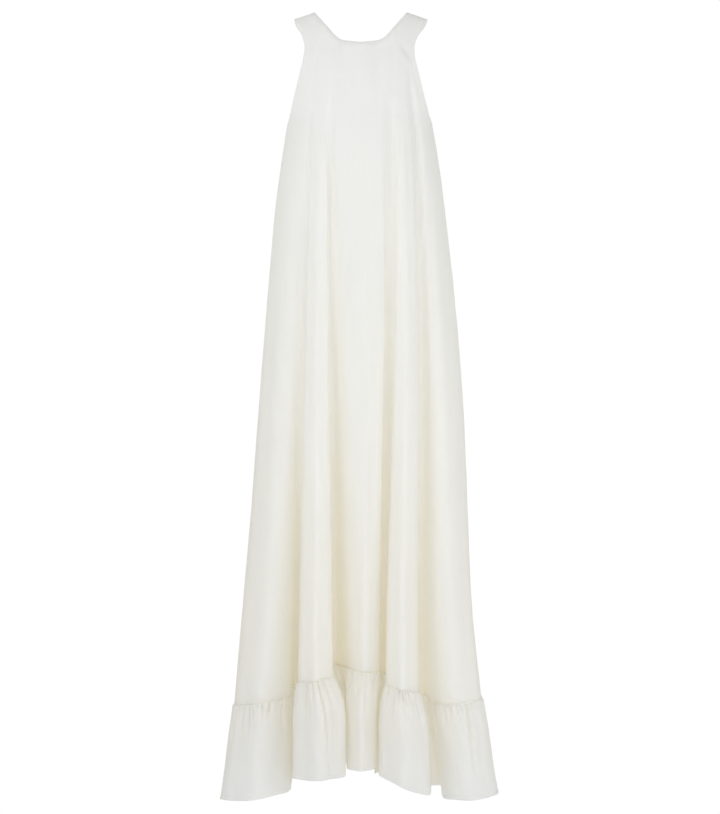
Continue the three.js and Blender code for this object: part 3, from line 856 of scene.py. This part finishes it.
def ruffle_grid(side, sizes):
    """A ruffle's outer face from its tucked top to its hem, its cloth coordinates, how deep in the folds
    it lies, which weighs its painted fold shade, and the line of its hem stitches."""
    outward = side["outward"]
    seam_x, overhang, seam_y, seam_z = placed(side["folds"], outward)
    hem_x, hem_overhang, hem_y, hem_z = placed(side["hem"], outward)
    top = np.stack([seam_x + overhang, seam_y, seam_z])
    low = np.stack([hem_x + hem_overhang, hem_y, hem_z])
    straight = np.clip((STRAIGHT_X - np.abs(seam_x)) / STRAIGHT_EASE, 0, 1)

    def ring(k, level):
        share = mix(level, 1 - math.exp(-((level / FLARE) ** FLARE_POWER)), straight)
        return through(mix(top, low, np.stack([share, share, np.full_like(share, level)])), k).T

    steps = np.linalg.norm(np.gradient(ring(FINE_KNOTS, MEAN_LEVEL), axis=0), axis=-1)
    k = spread_columns(steps, [0, LAST_KNOT], RUFFLE_COLUMNS)
    levels = RUFFLE_LEVELS[:, None]
    grid = np.stack([ring(k, level) for level in RUFFLE_LEVELS])
    along = run_lengths(ring(k, MEAN_LEVEL))
    normal = normals_of(grid, outward)
    normal[..., 2] = 0
    normal /= np.linalg.norm(normal, axis=-1, keepdims=True)

    below = levels * RUFFLE_HEIGHT
    deep_knots = through(KNOT["deep"], k)[None, :]
    room = mix(1.0, VALLEY_ROOM, smooth(np.clip(deep_knots, 0, 1)))
    gathers = main_gathers(side["gathers"], k, along, below) + small_gathers(side, sizes, along, below)
    waves = ripple(along[None, :], below, side["seed"] + 7, RUFFLE_WAVES) * smooth(below / RUFFLE_WAVE_EASE)
    puff = SEAM_PUFF * np.sin(math.pi * np.minimum(1, levels + 0.5 - PUFF_PEAK))
    ends = smooth(along / SIDE_FADE) * smooth((along[-1] - along) / SIDE_FADE)
    out = ends * (room * (gathers + RUFFLE_WAVE_DEPTH * waves) + mix(VALLEY_PUFF, 1, room) * puff)

    turn = sizes.hem_turn / MM
    from_hem = (1 - levels) * RUFFLE_HEIGHT
    groove = GROOVE_DEPTH * np.exp(-(((from_hem - turn) / GROOVE_WIDTH) ** 2))
    out = out + HEM_STEP * smooth((turn - HEM_OFFSET - from_hem) / HEM_EASE) - groove
    grid = grid + normal * out[..., None]
    tuck = TUCK_DEPTH * (1 - smooth((below + TUCK_START) / TUCK_REACH))
    grid = grid - normal * tuck[..., None]
    crown = grid[0] - normal[0] * CROWN_INSET + np.array([0, 0, TUCK])
    grid = np.concatenate([crown[None], grid])
    for column in (0, -1):
        grid[:, column, 1] = outward * SEAM_GAP / 2

    levels = np.concatenate([[-TUCK / RUFFLE_HEIGHT], RUFFLE_LEVELS])
    x_cloth = (along - along[len(along) // 2]) * MM * FULLNESS
    z_cloth = -levels[:, None] * RUFFLE_HEIGHT * MM
    uv = np.stack(np.broadcast_arrays(x_cloth[None, :], z_cloth), axis=-1)
    # Painted shade: the folds' warmer colour in the gathers' troughs and just below the seam.
    gathered = np.clip(-gathers / FULL_GATHER, 0, 1) * GATHER_SHADE
    gathered = gathered + GATHER_SHADE * np.exp(-below / GATHER_SHADE_REACH)
    deep = np.clip(np.maximum(deep_knots, gathered), 0, 1)
    deep = np.concatenate([deep[:1], deep])

    stitch_level = 1 - turn / RUFFLE_HEIGHT
    row = np.searchsorted(levels, stitch_level)
    t = (stitch_level - levels[row - 1]) / (levels[row] - levels[row - 1])
    line = mix(grid[row - 1], grid[row], t) + mix(normal[row - 2], normal[row - 1], t) * STITCH_LIFT
    return grid, uv, deep, line[STITCH_MARGIN:-STITCH_MARGIN]


# A gather's trough starts at a share of its depth, has all of it after the reach, and fades towards its
# end, the later the higher the number. The power shapes its sides.
MAIN_TROUGH = {"start": 0.4, "reach": 14, "late": 1.2, "power": 1.5}
CLOSE_TROUGH = {"start": 0.55, "reach": 7, "late": 1.15, "power": 1.4}
# How much the tables' depths are raised, how a main gather widens, and over what length at least.
MAIN_GATHER = 2.1
MAIN_WIDENING = (0.5, 1.2)
MAIN_LEAST_EASE = 60
# Ranges of the close gathers: their depths and pitches as shares of the mean, how far they lean, their
# half-widths, how they widen and over what length, and their lengths, with more short ones than long.
CLOSE_DEPTHS = (0.55, 1.35)
CLOSE_PITCHES = (0.6, 1.5)
CLOSE_LEANS = (-0.16, 0.16)
CLOSE_WIDTHS = (1.3, 2.3)
CLOSE_WIDENING = (1, 1.9)
CLOSE_EASE = 70
CLOSE_SHORTEST = 20
CLOSE_LONGER = 90
CLOSE_LENGTH_POWER = 1.8


def trough(along, below, depth, centre, wide, length, start, reach, late, power):
    """One gather's trough at every place along a ruffle and every height below its seam."""
    fade = (start + (1 - start) * smooth(below / reach)) * smooth(late * (1 - below / length))
    return depth * fade * np.exp(-(np.abs((along[None, :] - centre) / wide) ** power))


def main_gathers(gathers, k, along, below):
    """The deeper gathers, given one by one: troughs that widen and fade on their way down."""
    total = np.zeros((len(below), len(along)))
    for across, deep, width, length, lean in zip(*gathers.values(), strict=True):
        centre_k = np.interp(across, KNOT["across"], np.arange(LAST_KNOT + 1))
        centre = np.interp(centre_k, k, along) + lean * below
        wide = width * mix(*MAIN_WIDENING, smooth(below / max(MAIN_LEAST_EASE, length)))
        total -= trough(along, below, MAIN_GATHER * deep, centre, wide, length, **MAIN_TROUGH)
    return total


def small_gathers(side, sizes, along, below):
    """The close gathers of the gathering thread: short sharp troughs, uneven in place and length."""
    rng = np.random.default_rng(side["seed"])
    pitch = sizes.gather_pitch / MM
    total = np.zeros((len(below), len(along)))
    place = pitch / 2
    while place < along[-1] - pitch / 2:
        deep = sizes.gather_depth / MM * rng.uniform(*CLOSE_DEPTHS)
        length = CLOSE_SHORTEST + CLOSE_LONGER * rng.random() ** CLOSE_LENGTH_POWER
        lean = rng.uniform(*CLOSE_LEANS)
        wide = rng.uniform(*CLOSE_WIDTHS) * mix(*CLOSE_WIDENING, smooth(below / CLOSE_EASE))
        total -= trough(along, below, deep, place + lean * below, wide, length, **CLOSE_TROUGH)
        place += pitch * rng.uniform(*CLOSE_PITCHES)
    return total


def linked(name, data):
    """A new object in the scene."""
    thing = bpy.data.objects.new(name, data)
    bpy.context.scene.collection.objects.link(thing)
    return thing


# How far the lower rim is rounded out, as a share of the cloth's thickness.
RIM_BULGE = 0.45


def cloth_object(name, grid, uv, deep, outward, thickness):
    """A closed thin wall from a grid of points in millimetres: its outer face, an inner face behind it,
    and a rounded rim at its foot."""
    rows, columns = grid.shape[:2]
    normal = normals_of(grid, outward)
    thick = np.broadcast_to(np.asarray(thickness, dtype=float), (rows,))[:, None, None]
    inner = grid - normal * thick
    down = grid[-1] - grid[-2]
    down /= np.maximum(np.linalg.norm(down, axis=-1, keepdims=True), TINY)
    middle = (grid + inner) / 2
    foot = middle[-1] + down * thick[-1] * RIM_BULGE
    shells = np.concatenate([grid, foot[None], inner[::-1], middle[:1]])
    loops = 2 * rows + 2
    uvs = np.concatenate([uv, uv[-1][None], uv[::-1], uv[0][None]])
    deeps = np.concatenate([deep, deep[-1][None], deep[::-1], deep[0][None]])

    index = np.arange(loops * columns).reshape(loops, columns)
    below = np.roll(index, -1, axis=0)
    quads = np.stack([index[:, :-1], below[:, :-1], below[:, 1:], index[:, 1:]], axis=-1).reshape(-1, 4)
    faces = quads.tolist()
    for column in (0, columns - 1):
        outer_line = index[:rows, column]
        inner_line = index[rows + 1 : 2 * rows + 1, column][::-1]
        cap = np.stack([outer_line[:-1], inner_line[:-1], inner_line[1:], outer_line[1:]], axis=-1)
        ends = np.array(
            [
                [outer_line[0], index[-1, column], inner_line[0]],
                [inner_line[-1], index[rows, column], outer_line[-1]],
            ]
        )
        if column:
            cap, ends = cap[:, ::-1], ends[:, ::-1]
        faces += cap.tolist() + ends.tolist()
    if outward > 0:
        faces = [face[::-1] for face in faces]

    mesh = bpy.data.meshes.new(name)
    mesh.from_pydata((shells.reshape(-1, 3) * MM).tolist(), [], faces)
    mesh.polygons.foreach_set("use_smooth", [True] * len(mesh.polygons))
    corner = np.empty(len(mesh.loops), dtype=np.int32)
    mesh.loops.foreach_get("vertex_index", corner)
    layer = mesh.uv_layers.new(name="cloth")
    layer.data.foreach_set("uv", uvs.reshape(-1, 2)[corner].ravel())
    # How deep in a fold each point lies, which weighs the painted fold shade in the cloth's material.
    fold = mesh.attributes.new("painted_fold_shade", "FLOAT", "POINT")
    fold.data.foreach_set("value", deeps.ravel())
    mesh.update()
    return linked(name, mesh)


class Nodes:
    """Adds nodes to a tree and links them, a node's inputs given by name or number."""

    def __init__(self, tree):
        self.tree = tree
        tree.nodes.clear()

    def add(self, kind, inputs=(), **values):
        node = self.tree.nodes.new(kind)
        for name, value in values.items():
            setattr(node, name, value)
        for key, value in dict(inputs).items():
            socket = node.inputs[key]
            if isinstance(value, bpy.types.NodeSocket):
                self.tree.links.new(value, socket)
            else:
                socket.default_value = value
        return node

    def maths(self, operation, a, b, clamp=False):
        return self.add("ShaderNodeMath", {0: a, 1: b}, operation=operation, use_clamp=clamp).outputs[0]

    def times(self, a, b):
        return self.maths("MULTIPLY", a, b)

    def plus(self, first, *others):
        for other in others:
            first = self.maths("ADD", first, other)
        return first

    def blend(self, share, a, b, mode="MIX"):
        node = self.add(
            "ShaderNodeMix", {0: share, 6: a, 7: b}, data_type="RGBA", blend_type=mode, clamp_result=True
        )
        return node.outputs[2]


def new_material(name):
    """A material, and its emptied node tree."""
    material = bpy.data.materials.new(name)
    material.use_nodes = True
    return material, Nodes(material.node_tree)


# Bands of a wave texture repeat every 0.314 of its coordinate at scale 1.
BAND_LENGTH = 0.31416
# Streaks in the cloth: slubs of the warp, finer ones, slubs of the weft, and broad soft patches. Each has
# its scales across and along the cloth, its detail and its contrast.
STREAKS = ((330, 5, 3.0, 1.7), (1000, 24, 2.0, 1.2), (14, 620, 3.0, 0.55), (9, 5, 2.0, 1.0))
FINE_SLUB = 0.6
# How the painted shade of the folds grows with their depth.
FOLD_SHADE_CURVE = 1.3
# How much the slubs, the patches and the weave change the tone, around its middle.
TONE_SLUB = 0.085
TONE_BROAD = 0.03
TONE_WEAVE = 0.03
TONE_MIDDLE = 0.985
# How much the weave and the slubs raise the surface, and by how many metres in all.
RAISED_WEAVE = 0.6
RAISED_SLUB = 0.9
BUMP_STRENGTH = 0.4
BUMP_HEIGHT = 0.00035
PANEL_ROUGHNESS = 0.78
RUFFLE_ROUGHNESS = 0.8
SLUB_ROUGHNESS = 0.08


def cloth_material(name, part, roughness, sizes, colours):
    """Slubby plain-weave cloth in the piece's own cloth coordinates, with painted shade as a warmer
    colour inside the folds, that lets some light through."""
    material, nodes = new_material(name)
    cloth = nodes.add("ShaderNodeUVMap", uv_map="cloth").outputs["UV"]

    def streaks(scale_x, scale_y, detail, contrast):
        stretched = nodes.add("ShaderNodeMapping", {"Vector": cloth, "Scale": (scale_x, scale_y, 1.0)})
        noise = nodes.add(
            "ShaderNodeTexNoise",
            {"Vector": stretched.outputs[0], "Scale": 1.0, "Detail": detail, "Roughness": 0.55},
            noise_dimensions="2D",
        )
        return nodes.times(nodes.maths("SUBTRACT", noise.outputs["Fac"], 0.5), contrast)

    def thread(direction):
        wave = nodes.add(
            "ShaderNodeTexWave",
            {
                "Vector": cloth,
                "Scale": BAND_LENGTH / sizes.thread_pitch,
                "Distortion": 0.6,
                "Detail": 1.0,
                "Detail Scale": 0.4,
            },
            wave_type="BANDS",
            bands_direction=direction,
            wave_profile="SIN",
        )
        return wave.outputs["Fac"]

    weave = nodes.times(nodes.plus(thread("X"), thread("Y")), 0.5)
    warp_slub, fine_slub, weft_slub, broad = (streaks(*row) for row in STREAKS)
    slub = nodes.plus(warp_slub, nodes.times(fine_slub, FINE_SLUB), weft_slub)

    # Painted shade in the folds: a warmer colour mixed into the base colour by how deep in a fold the cloth
    # lies.
    depth = nodes.add("ShaderNodeAttribute", attribute_name="painted_fold_shade", attribute_type="GEOMETRY")
    deep = nodes.maths("POWER", depth.outputs["Fac"], FOLD_SHADE_CURVE, clamp=True)
    plain, folded = getattr(colours, part), getattr(colours, part + "_painted_shade")
    base = nodes.blend(deep, (*plain, 1), (*folded, 1))
    uneven = nodes.plus(nodes.times(slub, TONE_SLUB), nodes.times(broad, TONE_BROAD))
    tone = nodes.plus(uneven, nodes.times(weave, TONE_WEAVE), TONE_MIDDLE)
    grey = nodes.add("ShaderNodeCombineColor", {0: tone, 1: tone, 2: tone}).outputs[0]
    height = nodes.plus(nodes.times(weave, RAISED_WEAVE), nodes.times(slub, RAISED_SLUB))
    bump = nodes.add(
        "ShaderNodeBump", {"Height": height, "Strength": BUMP_STRENGTH, "Distance": BUMP_HEIGHT}
    )
    shader = nodes.add(
        "ShaderNodeBsdfPrincipled",
        {
            "Base Color": nodes.blend(1.0, base, grey, "MULTIPLY"),
            "Roughness": nodes.maths("ADD", nodes.times(slub, SLUB_ROUGHNESS), roughness, clamp=True),
            "Normal": bump.outputs[0],
            "Specular IOR Level": 0.25,
            "Sheen Weight": 0.08,
            "Sheen Roughness": 0.6,
        },
    )
    glow = nodes.add("ShaderNodeBsdfTranslucent", {"Color": (*colours.shine_through, 1)})
    both = nodes.add("ShaderNodeMixShader", {0: colours.sheerness, 1: shader.outputs[0], 2: glow.outputs[0]})
    nodes.add("ShaderNodeOutputMaterial", {"Surface": both.outputs[0]})
    return material


def thread_material(colour):
    """Twisted sewing thread, lighter along its ply."""
    material, nodes = new_material("sewing_thread")
    place = nodes.add("ShaderNodeTexCoord").outputs["Object"]
    ply = nodes.add(
        "ShaderNodeTexWave", {"Vector": place, "Scale": 900.0, "Distortion": 1.0}, bands_direction="DIAGONAL"
    )
    dark = tuple(0.9 * c for c in colour)
    base = nodes.blend(ply.outputs["Fac"], (*dark, 1), (*colour, 1))
    bump = nodes.add("ShaderNodeBump", {"Height": ply.outputs["Fac"], "Strength": 0.3, "Distance": 0.0001})
    shader = nodes.add(
        "ShaderNodeBsdfPrincipled",
        {"Base Color": base, "Normal": bump.outputs[0], "Roughness": 0.5, "Sheen Weight": 0.1},
    )
    nodes.add("ShaderNodeOutputMaterial", {"Surface": shader.outputs[0]})
    return material


# The stitches' lengths, as shares of the given one.
SHORTEST_STITCH = 0.88
LONGEST_STITCH = 1.1


def stitch_tree():
    """Geometry Nodes that lay stitches along a line of sewing."""
    tree = bpy.data.node_groups.new("sewing_line", "GeometryNodeTree")
    face = tree.interface
    face.new_socket("Line", in_out="INPUT", socket_type="NodeSocketGeometry")
    for name in ("Pitch", "Stitch length", "Thread thickness"):
        face.new_socket(name, in_out="INPUT", socket_type="NodeSocketFloat")
    face.new_socket("Seed", in_out="INPUT", socket_type="NodeSocketInt")
    face.new_socket("Thread", in_out="INPUT", socket_type="NodeSocketMaterial")
    face.new_socket("Stitches", in_out="OUTPUT", socket_type="NodeSocketGeometry")
    nodes = Nodes(tree)
    given = nodes.add("NodeGroupInput").outputs
    curve = nodes.add("GeometryNodeMeshToCurve", {"Mesh": given["Line"]})
    points = nodes.add(
        "GeometryNodeCurveToPoints", {"Curve": curve.outputs[0], "Length": given["Pitch"]}, mode="LENGTH"
    )
    turn = nodes.add("FunctionNodeAlignRotationToVector", {"Vector": points.outputs["Tangent"]}, axis="X")
    bead = nodes.add("GeometryNodeMeshUVSphere", {"Segments": 6, "Rings": 4, "Radius": 0.5})
    # The random node has a pair of sockets for each type, and those numbered 2 and 3 are the float ones.
    random = {2: SHORTEST_STITCH, 3: LONGEST_STITCH, "Seed": given["Seed"]}
    uneven = nodes.add("FunctionNodeRandomValue", random, data_type="FLOAT")
    size = nodes.times(given["Stitch length"], uneven.outputs[1])
    scale = nodes.add(
        "ShaderNodeCombineXYZ", {"X": size, "Y": given["Thread thickness"], "Z": given["Thread thickness"]}
    )
    laid = nodes.add(
        "GeometryNodeInstanceOnPoints",
        {
            "Points": points.outputs["Points"],
            "Instance": bead.outputs["Mesh"],
            "Rotation": turn.outputs[0],
            "Scale": scale.outputs[0],
        },
    )
    real = nodes.add("GeometryNodeRealizeInstances", {"Geometry": laid.outputs[0]})
    thread = nodes.add("GeometryNodeSetMaterial", {"Geometry": real.outputs[0], "Material": given["Thread"]})
    nodes.add("NodeGroupOutput", {0: thread.outputs[0]})
    return tree


def stitches_along(name, line, sizes, tree, thread, seed):
    """A plain mesh of stitches along a line of points in millimetres."""
    path = bpy.data.meshes.new(name + "_line")
    edges = [(i, i + 1) for i in range(len(line) - 1)]
    path.from_pydata((line * MM).tolist(), edges, [])
    holder = linked(name + "_line", path)
    modifier = holder.modifiers.new("Sewing", "NODES")
    modifier.node_group = tree
    values = {
        "Pitch": sizes.stitch_pitch,
        "Stitch length": sizes.stitch_length,
        "Thread thickness": sizes.thread_thickness,
        "Seed": seed,
        "Thread": thread,
    }
    for item in tree.interface.items_tree:
        if item.in_out == "INPUT" and item.name in values:
            modifier[item.identifier] = values[item.name]
    graph = bpy.context.evaluated_depsgraph_get()
    mesh = bpy.data.meshes.new_from_object(holder.evaluated_get(graph))
    mesh.name = name
    mesh.polygons.foreach_set("use_smooth", [True] * len(mesh.polygons))
    bpy.data.objects.remove(holder)
    bpy.data.meshes.remove(path)
    if not len(mesh.polygons):
        raise RuntimeError(f"no stitches were laid for {name}")
    return linked(name, mesh)


def length(name, description, default, **more):
    return bpy.props.FloatProperty(
        name=name, description=description, default=default, min=0.0, unit="LENGTH", precision=5, **more
    )


def colour(name, description, default):
    return bpy.props.FloatVectorProperty(
        name=name, description=description, default=default, size=3, min=0.0, max=1.0, subtype="COLOR"
    )


class DressSizes(bpy.types.PropertyGroup):
    panel_cloth: length("Panel cloth", "Thickness of the front and back panels", 0.0012)
    ruffle_cloth: length("Ruffle cloth", "Thickness of the ruffle", 0.0010)
    neck_roll: length("Neck roll", "How wide the neckline's edge rolls in", 0.015)
    armhole_roll: length("Armhole roll", "How wide the armholes' edges roll in", 0.0055)
    hem_turn: length("Hem turn", "Height of the turned hem at the foot of the ruffle", 0.0065)
    gather_pitch: length("Gather pitch", "Mean distance between two close gathers", 0.0086)
    gather_depth: length("Gather depth", "Mean depth of a close gather", 0.0024)
    thread_pitch: length("Thread pitch", "Distance between two threads of the weave", 0.0007)
    stitch_pitch: length("Stitch pitch", "Distance between two stitches of the hem", 0.0029)
    stitch_length: length("Stitch length", "Length of one stitch", 0.0023)
    thread_thickness: length("Thread thickness", "Thickness of the sewing thread", 0.0005)


class DressColours(bpy.types.PropertyGroup):
    cloth: colour("Cloth", "Colour of the panels", (0.98, 0.978, 0.966))
    # The colours in folds are painted shade: warmer tones mixed in where the cloth lies deep in folds and
    # gathers and along the knee seam, for light that bounces between the folds and comes through them.
    cloth_painted_shade: colour("Cloth in folds", "Colour of the panels inside their folds", (1.0, 0.957, 0.855))
    # The ruffle is the panels' cloth, its colour set a little darker as painted shade for the dimmer light
    # at the dress's foot.
    ruffle: colour("Ruffle", "Colour of the ruffle", (0.955, 0.951, 0.938))
    ruffle_painted_shade: colour("Ruffle in folds", "Colour of the ruffle inside its folds", (0.965, 0.945, 0.88))
    shine_through: colour("Shine-through", "Colour of the light that comes through", (0.998, 0.982, 0.932))
    sheerness: bpy.props.FloatProperty(
        name="Sheerness",
        description="Share of the light that the cloth lets through",
        default=0.62,
        min=0.0,
        max=1.0,
        subtype="FACTOR",
    )
    thread: colour("Thread", "Colour of the sewing thread", (0.90, 0.89, 0.84))
    backdrop: colour("Backdrop", "Colour of the floor and the backdrop", (1.0, 1.0, 1.0))
    light: colour("Light", "Colour of the studio light", (0.895, 0.928, 1.0))


CAMERA_DISTANCE = 4.5
CAMERA_HEIGHT = -0.749
SENSOR_WIDTH = 36.0
PHOTO_WIDTH = 720
METRES_PER_PIXEL = 0.0019
FLOOR_Z = -1.56
FLOOR_RADIUS = 40.0
LIGHT_BOUNCES = 24
BACKDROP_GLOW = 1.02
# How bright the studio's air is from straight below, 0, to straight above, 1.
AIR_BRIGHTNESS = ((0.0, 0.78), (0.6, 0.78), (1.0, 0.43))
# The softboxes: where each stands, what it points at, its width in metres and its power in watts.
SOFTBOXES = {
    "softbox_front": ((0.45, -2.9, -0.4), (0, 0, -0.85), 1.6, 16),
    "softbox_left": ((-1.2, -1.6, 0.25), (0, 0, -0.3), 0.9, 10.5),
    "softbox_right": ((1.3, -1.3, -0.9), (0, 0, -0.95), 0.9, 5.5),
}


def emission_material(name, tint):
    material, nodes = new_material(name)
    glow = nodes.add("ShaderNodeEmission", {"Color": (*tint, 1), "Strength": BACKDROP_GLOW})
    nodes.add("ShaderNodeOutputMaterial", {"Surface": glow.outputs[0]})
    return material


def softbox(name, tint, place, target, width, power):
    light = bpy.data.lights.new(name, "AREA")
    light.shape = "RECTANGLE"
    light.size = light.size_y = width
    light.energy = power
    light.color = tint
    lamp = linked(name, light)
    lamp.location = place
    aim = np.array(target) - np.array(place)
    pitch = math.atan2(math.hypot(aim[0], aim[1]), -aim[2])
    lamp.rotation_euler = (pitch, 0, math.atan2(-aim[0], aim[1]))
    lamp.visible_camera = False


class DRESS_OT_stage(bpy.types.Operator):
    """Set the camera at the photograph's place, the white floor and backdrop, and the studio lights"""

    bl_idname = "dress.stage"
    bl_label = "Stage, lights and camera"

    def execute(self, context):
        colours = context.scene.dress_colours
        camera = bpy.data.cameras.new("photo_camera")
        camera.sensor_fit = "HORIZONTAL"
        camera.sensor_width = SENSOR_WIDTH
        camera.lens = SENSOR_WIDTH * CAMERA_DISTANCE / (PHOTO_WIDTH * METRES_PER_PIXEL)
        camera.clip_end = 200
        viewer = linked("photo_camera", camera)
        viewer.location = (0, -CAMERA_DISTANCE, CAMERA_HEIGHT)
        viewer.rotation_euler = (math.pi / 2, 0, 0)
        context.scene.camera = viewer

        white = emission_material("studio_white", tuple(colours.backdrop))
        bpy.ops.mesh.primitive_circle_add(vertices=64, radius=FLOOR_RADIUS, fill_type="NGON")
        floor = context.active_object
        floor.name = "studio_floor"
        floor.location.z = FLOOR_Z
        bpy.ops.mesh.primitive_uv_sphere_add(segments=48, ring_count=24, radius=FLOOR_RADIUS * 2)
        backdrop = context.active_object
        backdrop.name = "studio_backdrop"
        for thing in (floor, backdrop):
            thing.data.materials.append(white)
            for ray in ("diffuse", "glossy", "transmission", "shadow"):
                setattr(thing, "visible_" + ray, False)

        world = bpy.data.worlds.new("studio_air")
        context.scene.world = world
        world.use_nodes = True
        nodes = Nodes(world.node_tree)
        direction = nodes.add("ShaderNodeTexCoord").outputs["Generated"]
        height = nodes.add("ShaderNodeSeparateXYZ", {0: direction}).outputs["Z"]
        height = nodes.times(nodes.plus(height, 1.0), 0.5)
        ramp = nodes.add("ShaderNodeValToRGB", {"Fac": height})
        stops = ramp.color_ramp.elements
        stops[0].position, stops[1].position = AIR_BRIGHTNESS[0][0], AIR_BRIGHTNESS[-1][0]
        for place, _ in AIR_BRIGHTNESS[1:-1]:
            stops.new(place)
        for stop, (_, bright) in zip(stops, AIR_BRIGHTNESS, strict=True):
            stop.color = (*(bright * c for c in colours.light), 1)
        air = nodes.add("ShaderNodeBackground", {"Color": ramp.outputs["Color"], "Strength": 1.0})
        nodes.add("ShaderNodeOutputWorld", {"Surface": air.outputs[0]})
        for name, settings in SOFTBOXES.items():
            softbox(name, colours.light, *settings)
        cycles = context.scene.cycles
        cycles.max_bounces = LIGHT_BOUNCES
        cycles.diffuse_bounces = LIGHT_BOUNCES
        cycles.transmission_bounces = LIGHT_BOUNCES
        context.scene.view_settings.view_transform = "Standard"
        context.scene.view_settings.look = "None"
        context.scene.view_settings.exposure = 0.0
        context.scene.view_settings.gamma = 1.0
        return {"FINISHED"}


class DRESS_OT_panels(bpy.types.Operator):
    """Make the front and back panels, from the straps to the knee seam"""

    bl_idname = "dress.panels"
    bl_label = "Front and back panels"

    def execute(self, context):
        sizes, colours = context.scene.dress_sizes, context.scene.dress_colours
        cloth = cloth_material("ivory_cloth", "cloth", PANEL_ROUGHNESS, sizes, colours)
        for side in (FRONT, BACK):
            grid, uv, deep, k = panel_grid(side, sizes)
            grid, uv, deep = turned_panel(side, sizes, grid, uv, deep, k)
            name = side["name"] + "_panel_cloth"
            piece = cloth_object(name, grid, uv, deep, side["outward"], sizes.panel_cloth / MM)
            piece.data.materials.append(cloth)
            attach(piece, "root")
            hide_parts(side["name"] + "_panel")
        return {"FINISHED"}


class DRESS_OT_ruffles(bpy.types.Operator):
    """Make the gathered ruffles below the knee seam, with their hem stitches"""

    bl_idname = "dress.ruffles"
    bl_label = "Ruffles and hem stitches"

    def execute(self, context):
        sizes, colours = context.scene.dress_sizes, context.scene.dress_colours
        cloth = cloth_material("ivory_ruffle_cloth", "ruffle", RUFFLE_ROUGHNESS, sizes, colours)
        thread = thread_material(colours.thread)
        tree = stitch_tree()
        for side in (FRONT, BACK):
            grid, uv, deep, line = ruffle_grid(side, sizes)
            from_hem = (1 + uv[:, 0, 1] / (RUFFLE_HEIGHT * MM)) * RUFFLE_HEIGHT
            doubled = smooth((sizes.hem_turn / MM - from_hem) / HEM_EASE)
            thickness = sizes.ruffle_cloth / MM * (1 + HEM_EXTRA * doubled)
            grid, uv, deep = turned_sides(
                grid, uv, deep, lambda edge, sign, turn: np.array([-sign * turn, 0, 0])
            )
            name = side["name"] + "_ruffle_cloth"
            piece = cloth_object(name, grid, uv, deep, side["outward"], thickness)
            piece.data.materials.append(cloth)
            sewing = stitches_along(side["name"] + "_hem_stitches", line, sizes, tree, thread, side["seed"])
            for thing in (piece, sewing):
                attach(thing, "root")
            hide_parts(side["name"] + "_ruffle")
        return {"FINISHED"}


class DRESS_PT_workshop(bpy.types.Panel):
    """Lists the steps of the dress and its sizes and colours"""

    bl_idname = "DRESS_PT_workshop"
    bl_label = "Maxi dress"
    bl_space_type = "VIEW_3D"
    bl_region_type = "UI"
    bl_category = "Dress"

    def draw(self, context):
        for step in STEPS:
            self.layout.operator(step.bl_idname)
        for group in (context.scene.dress_sizes, context.scene.dress_colours):
            box = self.layout.box()
            for name in group.__annotations__:
                box.prop(group, name)


STEPS = (DRESS_OT_stage, DRESS_OT_panels, DRESS_OT_ruffles)
CLASSES = (DressSizes, DressColours, *STEPS, DRESS_PT_workshop)


def register():
    for cls in CLASSES:
        bpy.utils.register_class(cls)
    bpy.types.Scene.dress_sizes = bpy.props.PointerProperty(type=DressSizes)
    bpy.types.Scene.dress_colours = bpy.props.PointerProperty(type=DressColours)


def unregister():
    del bpy.types.Scene.dress_colours
    del bpy.types.Scene.dress_sizes
    for cls in reversed(CLASSES):
        bpy.utils.unregister_class(cls)


def main():
    register()
    bpy.ops.dress.stage()
    bpy.ops.dress.panels()
    bpy.ops.dress.ruffles()


if __name__ == "__main__":
    main()
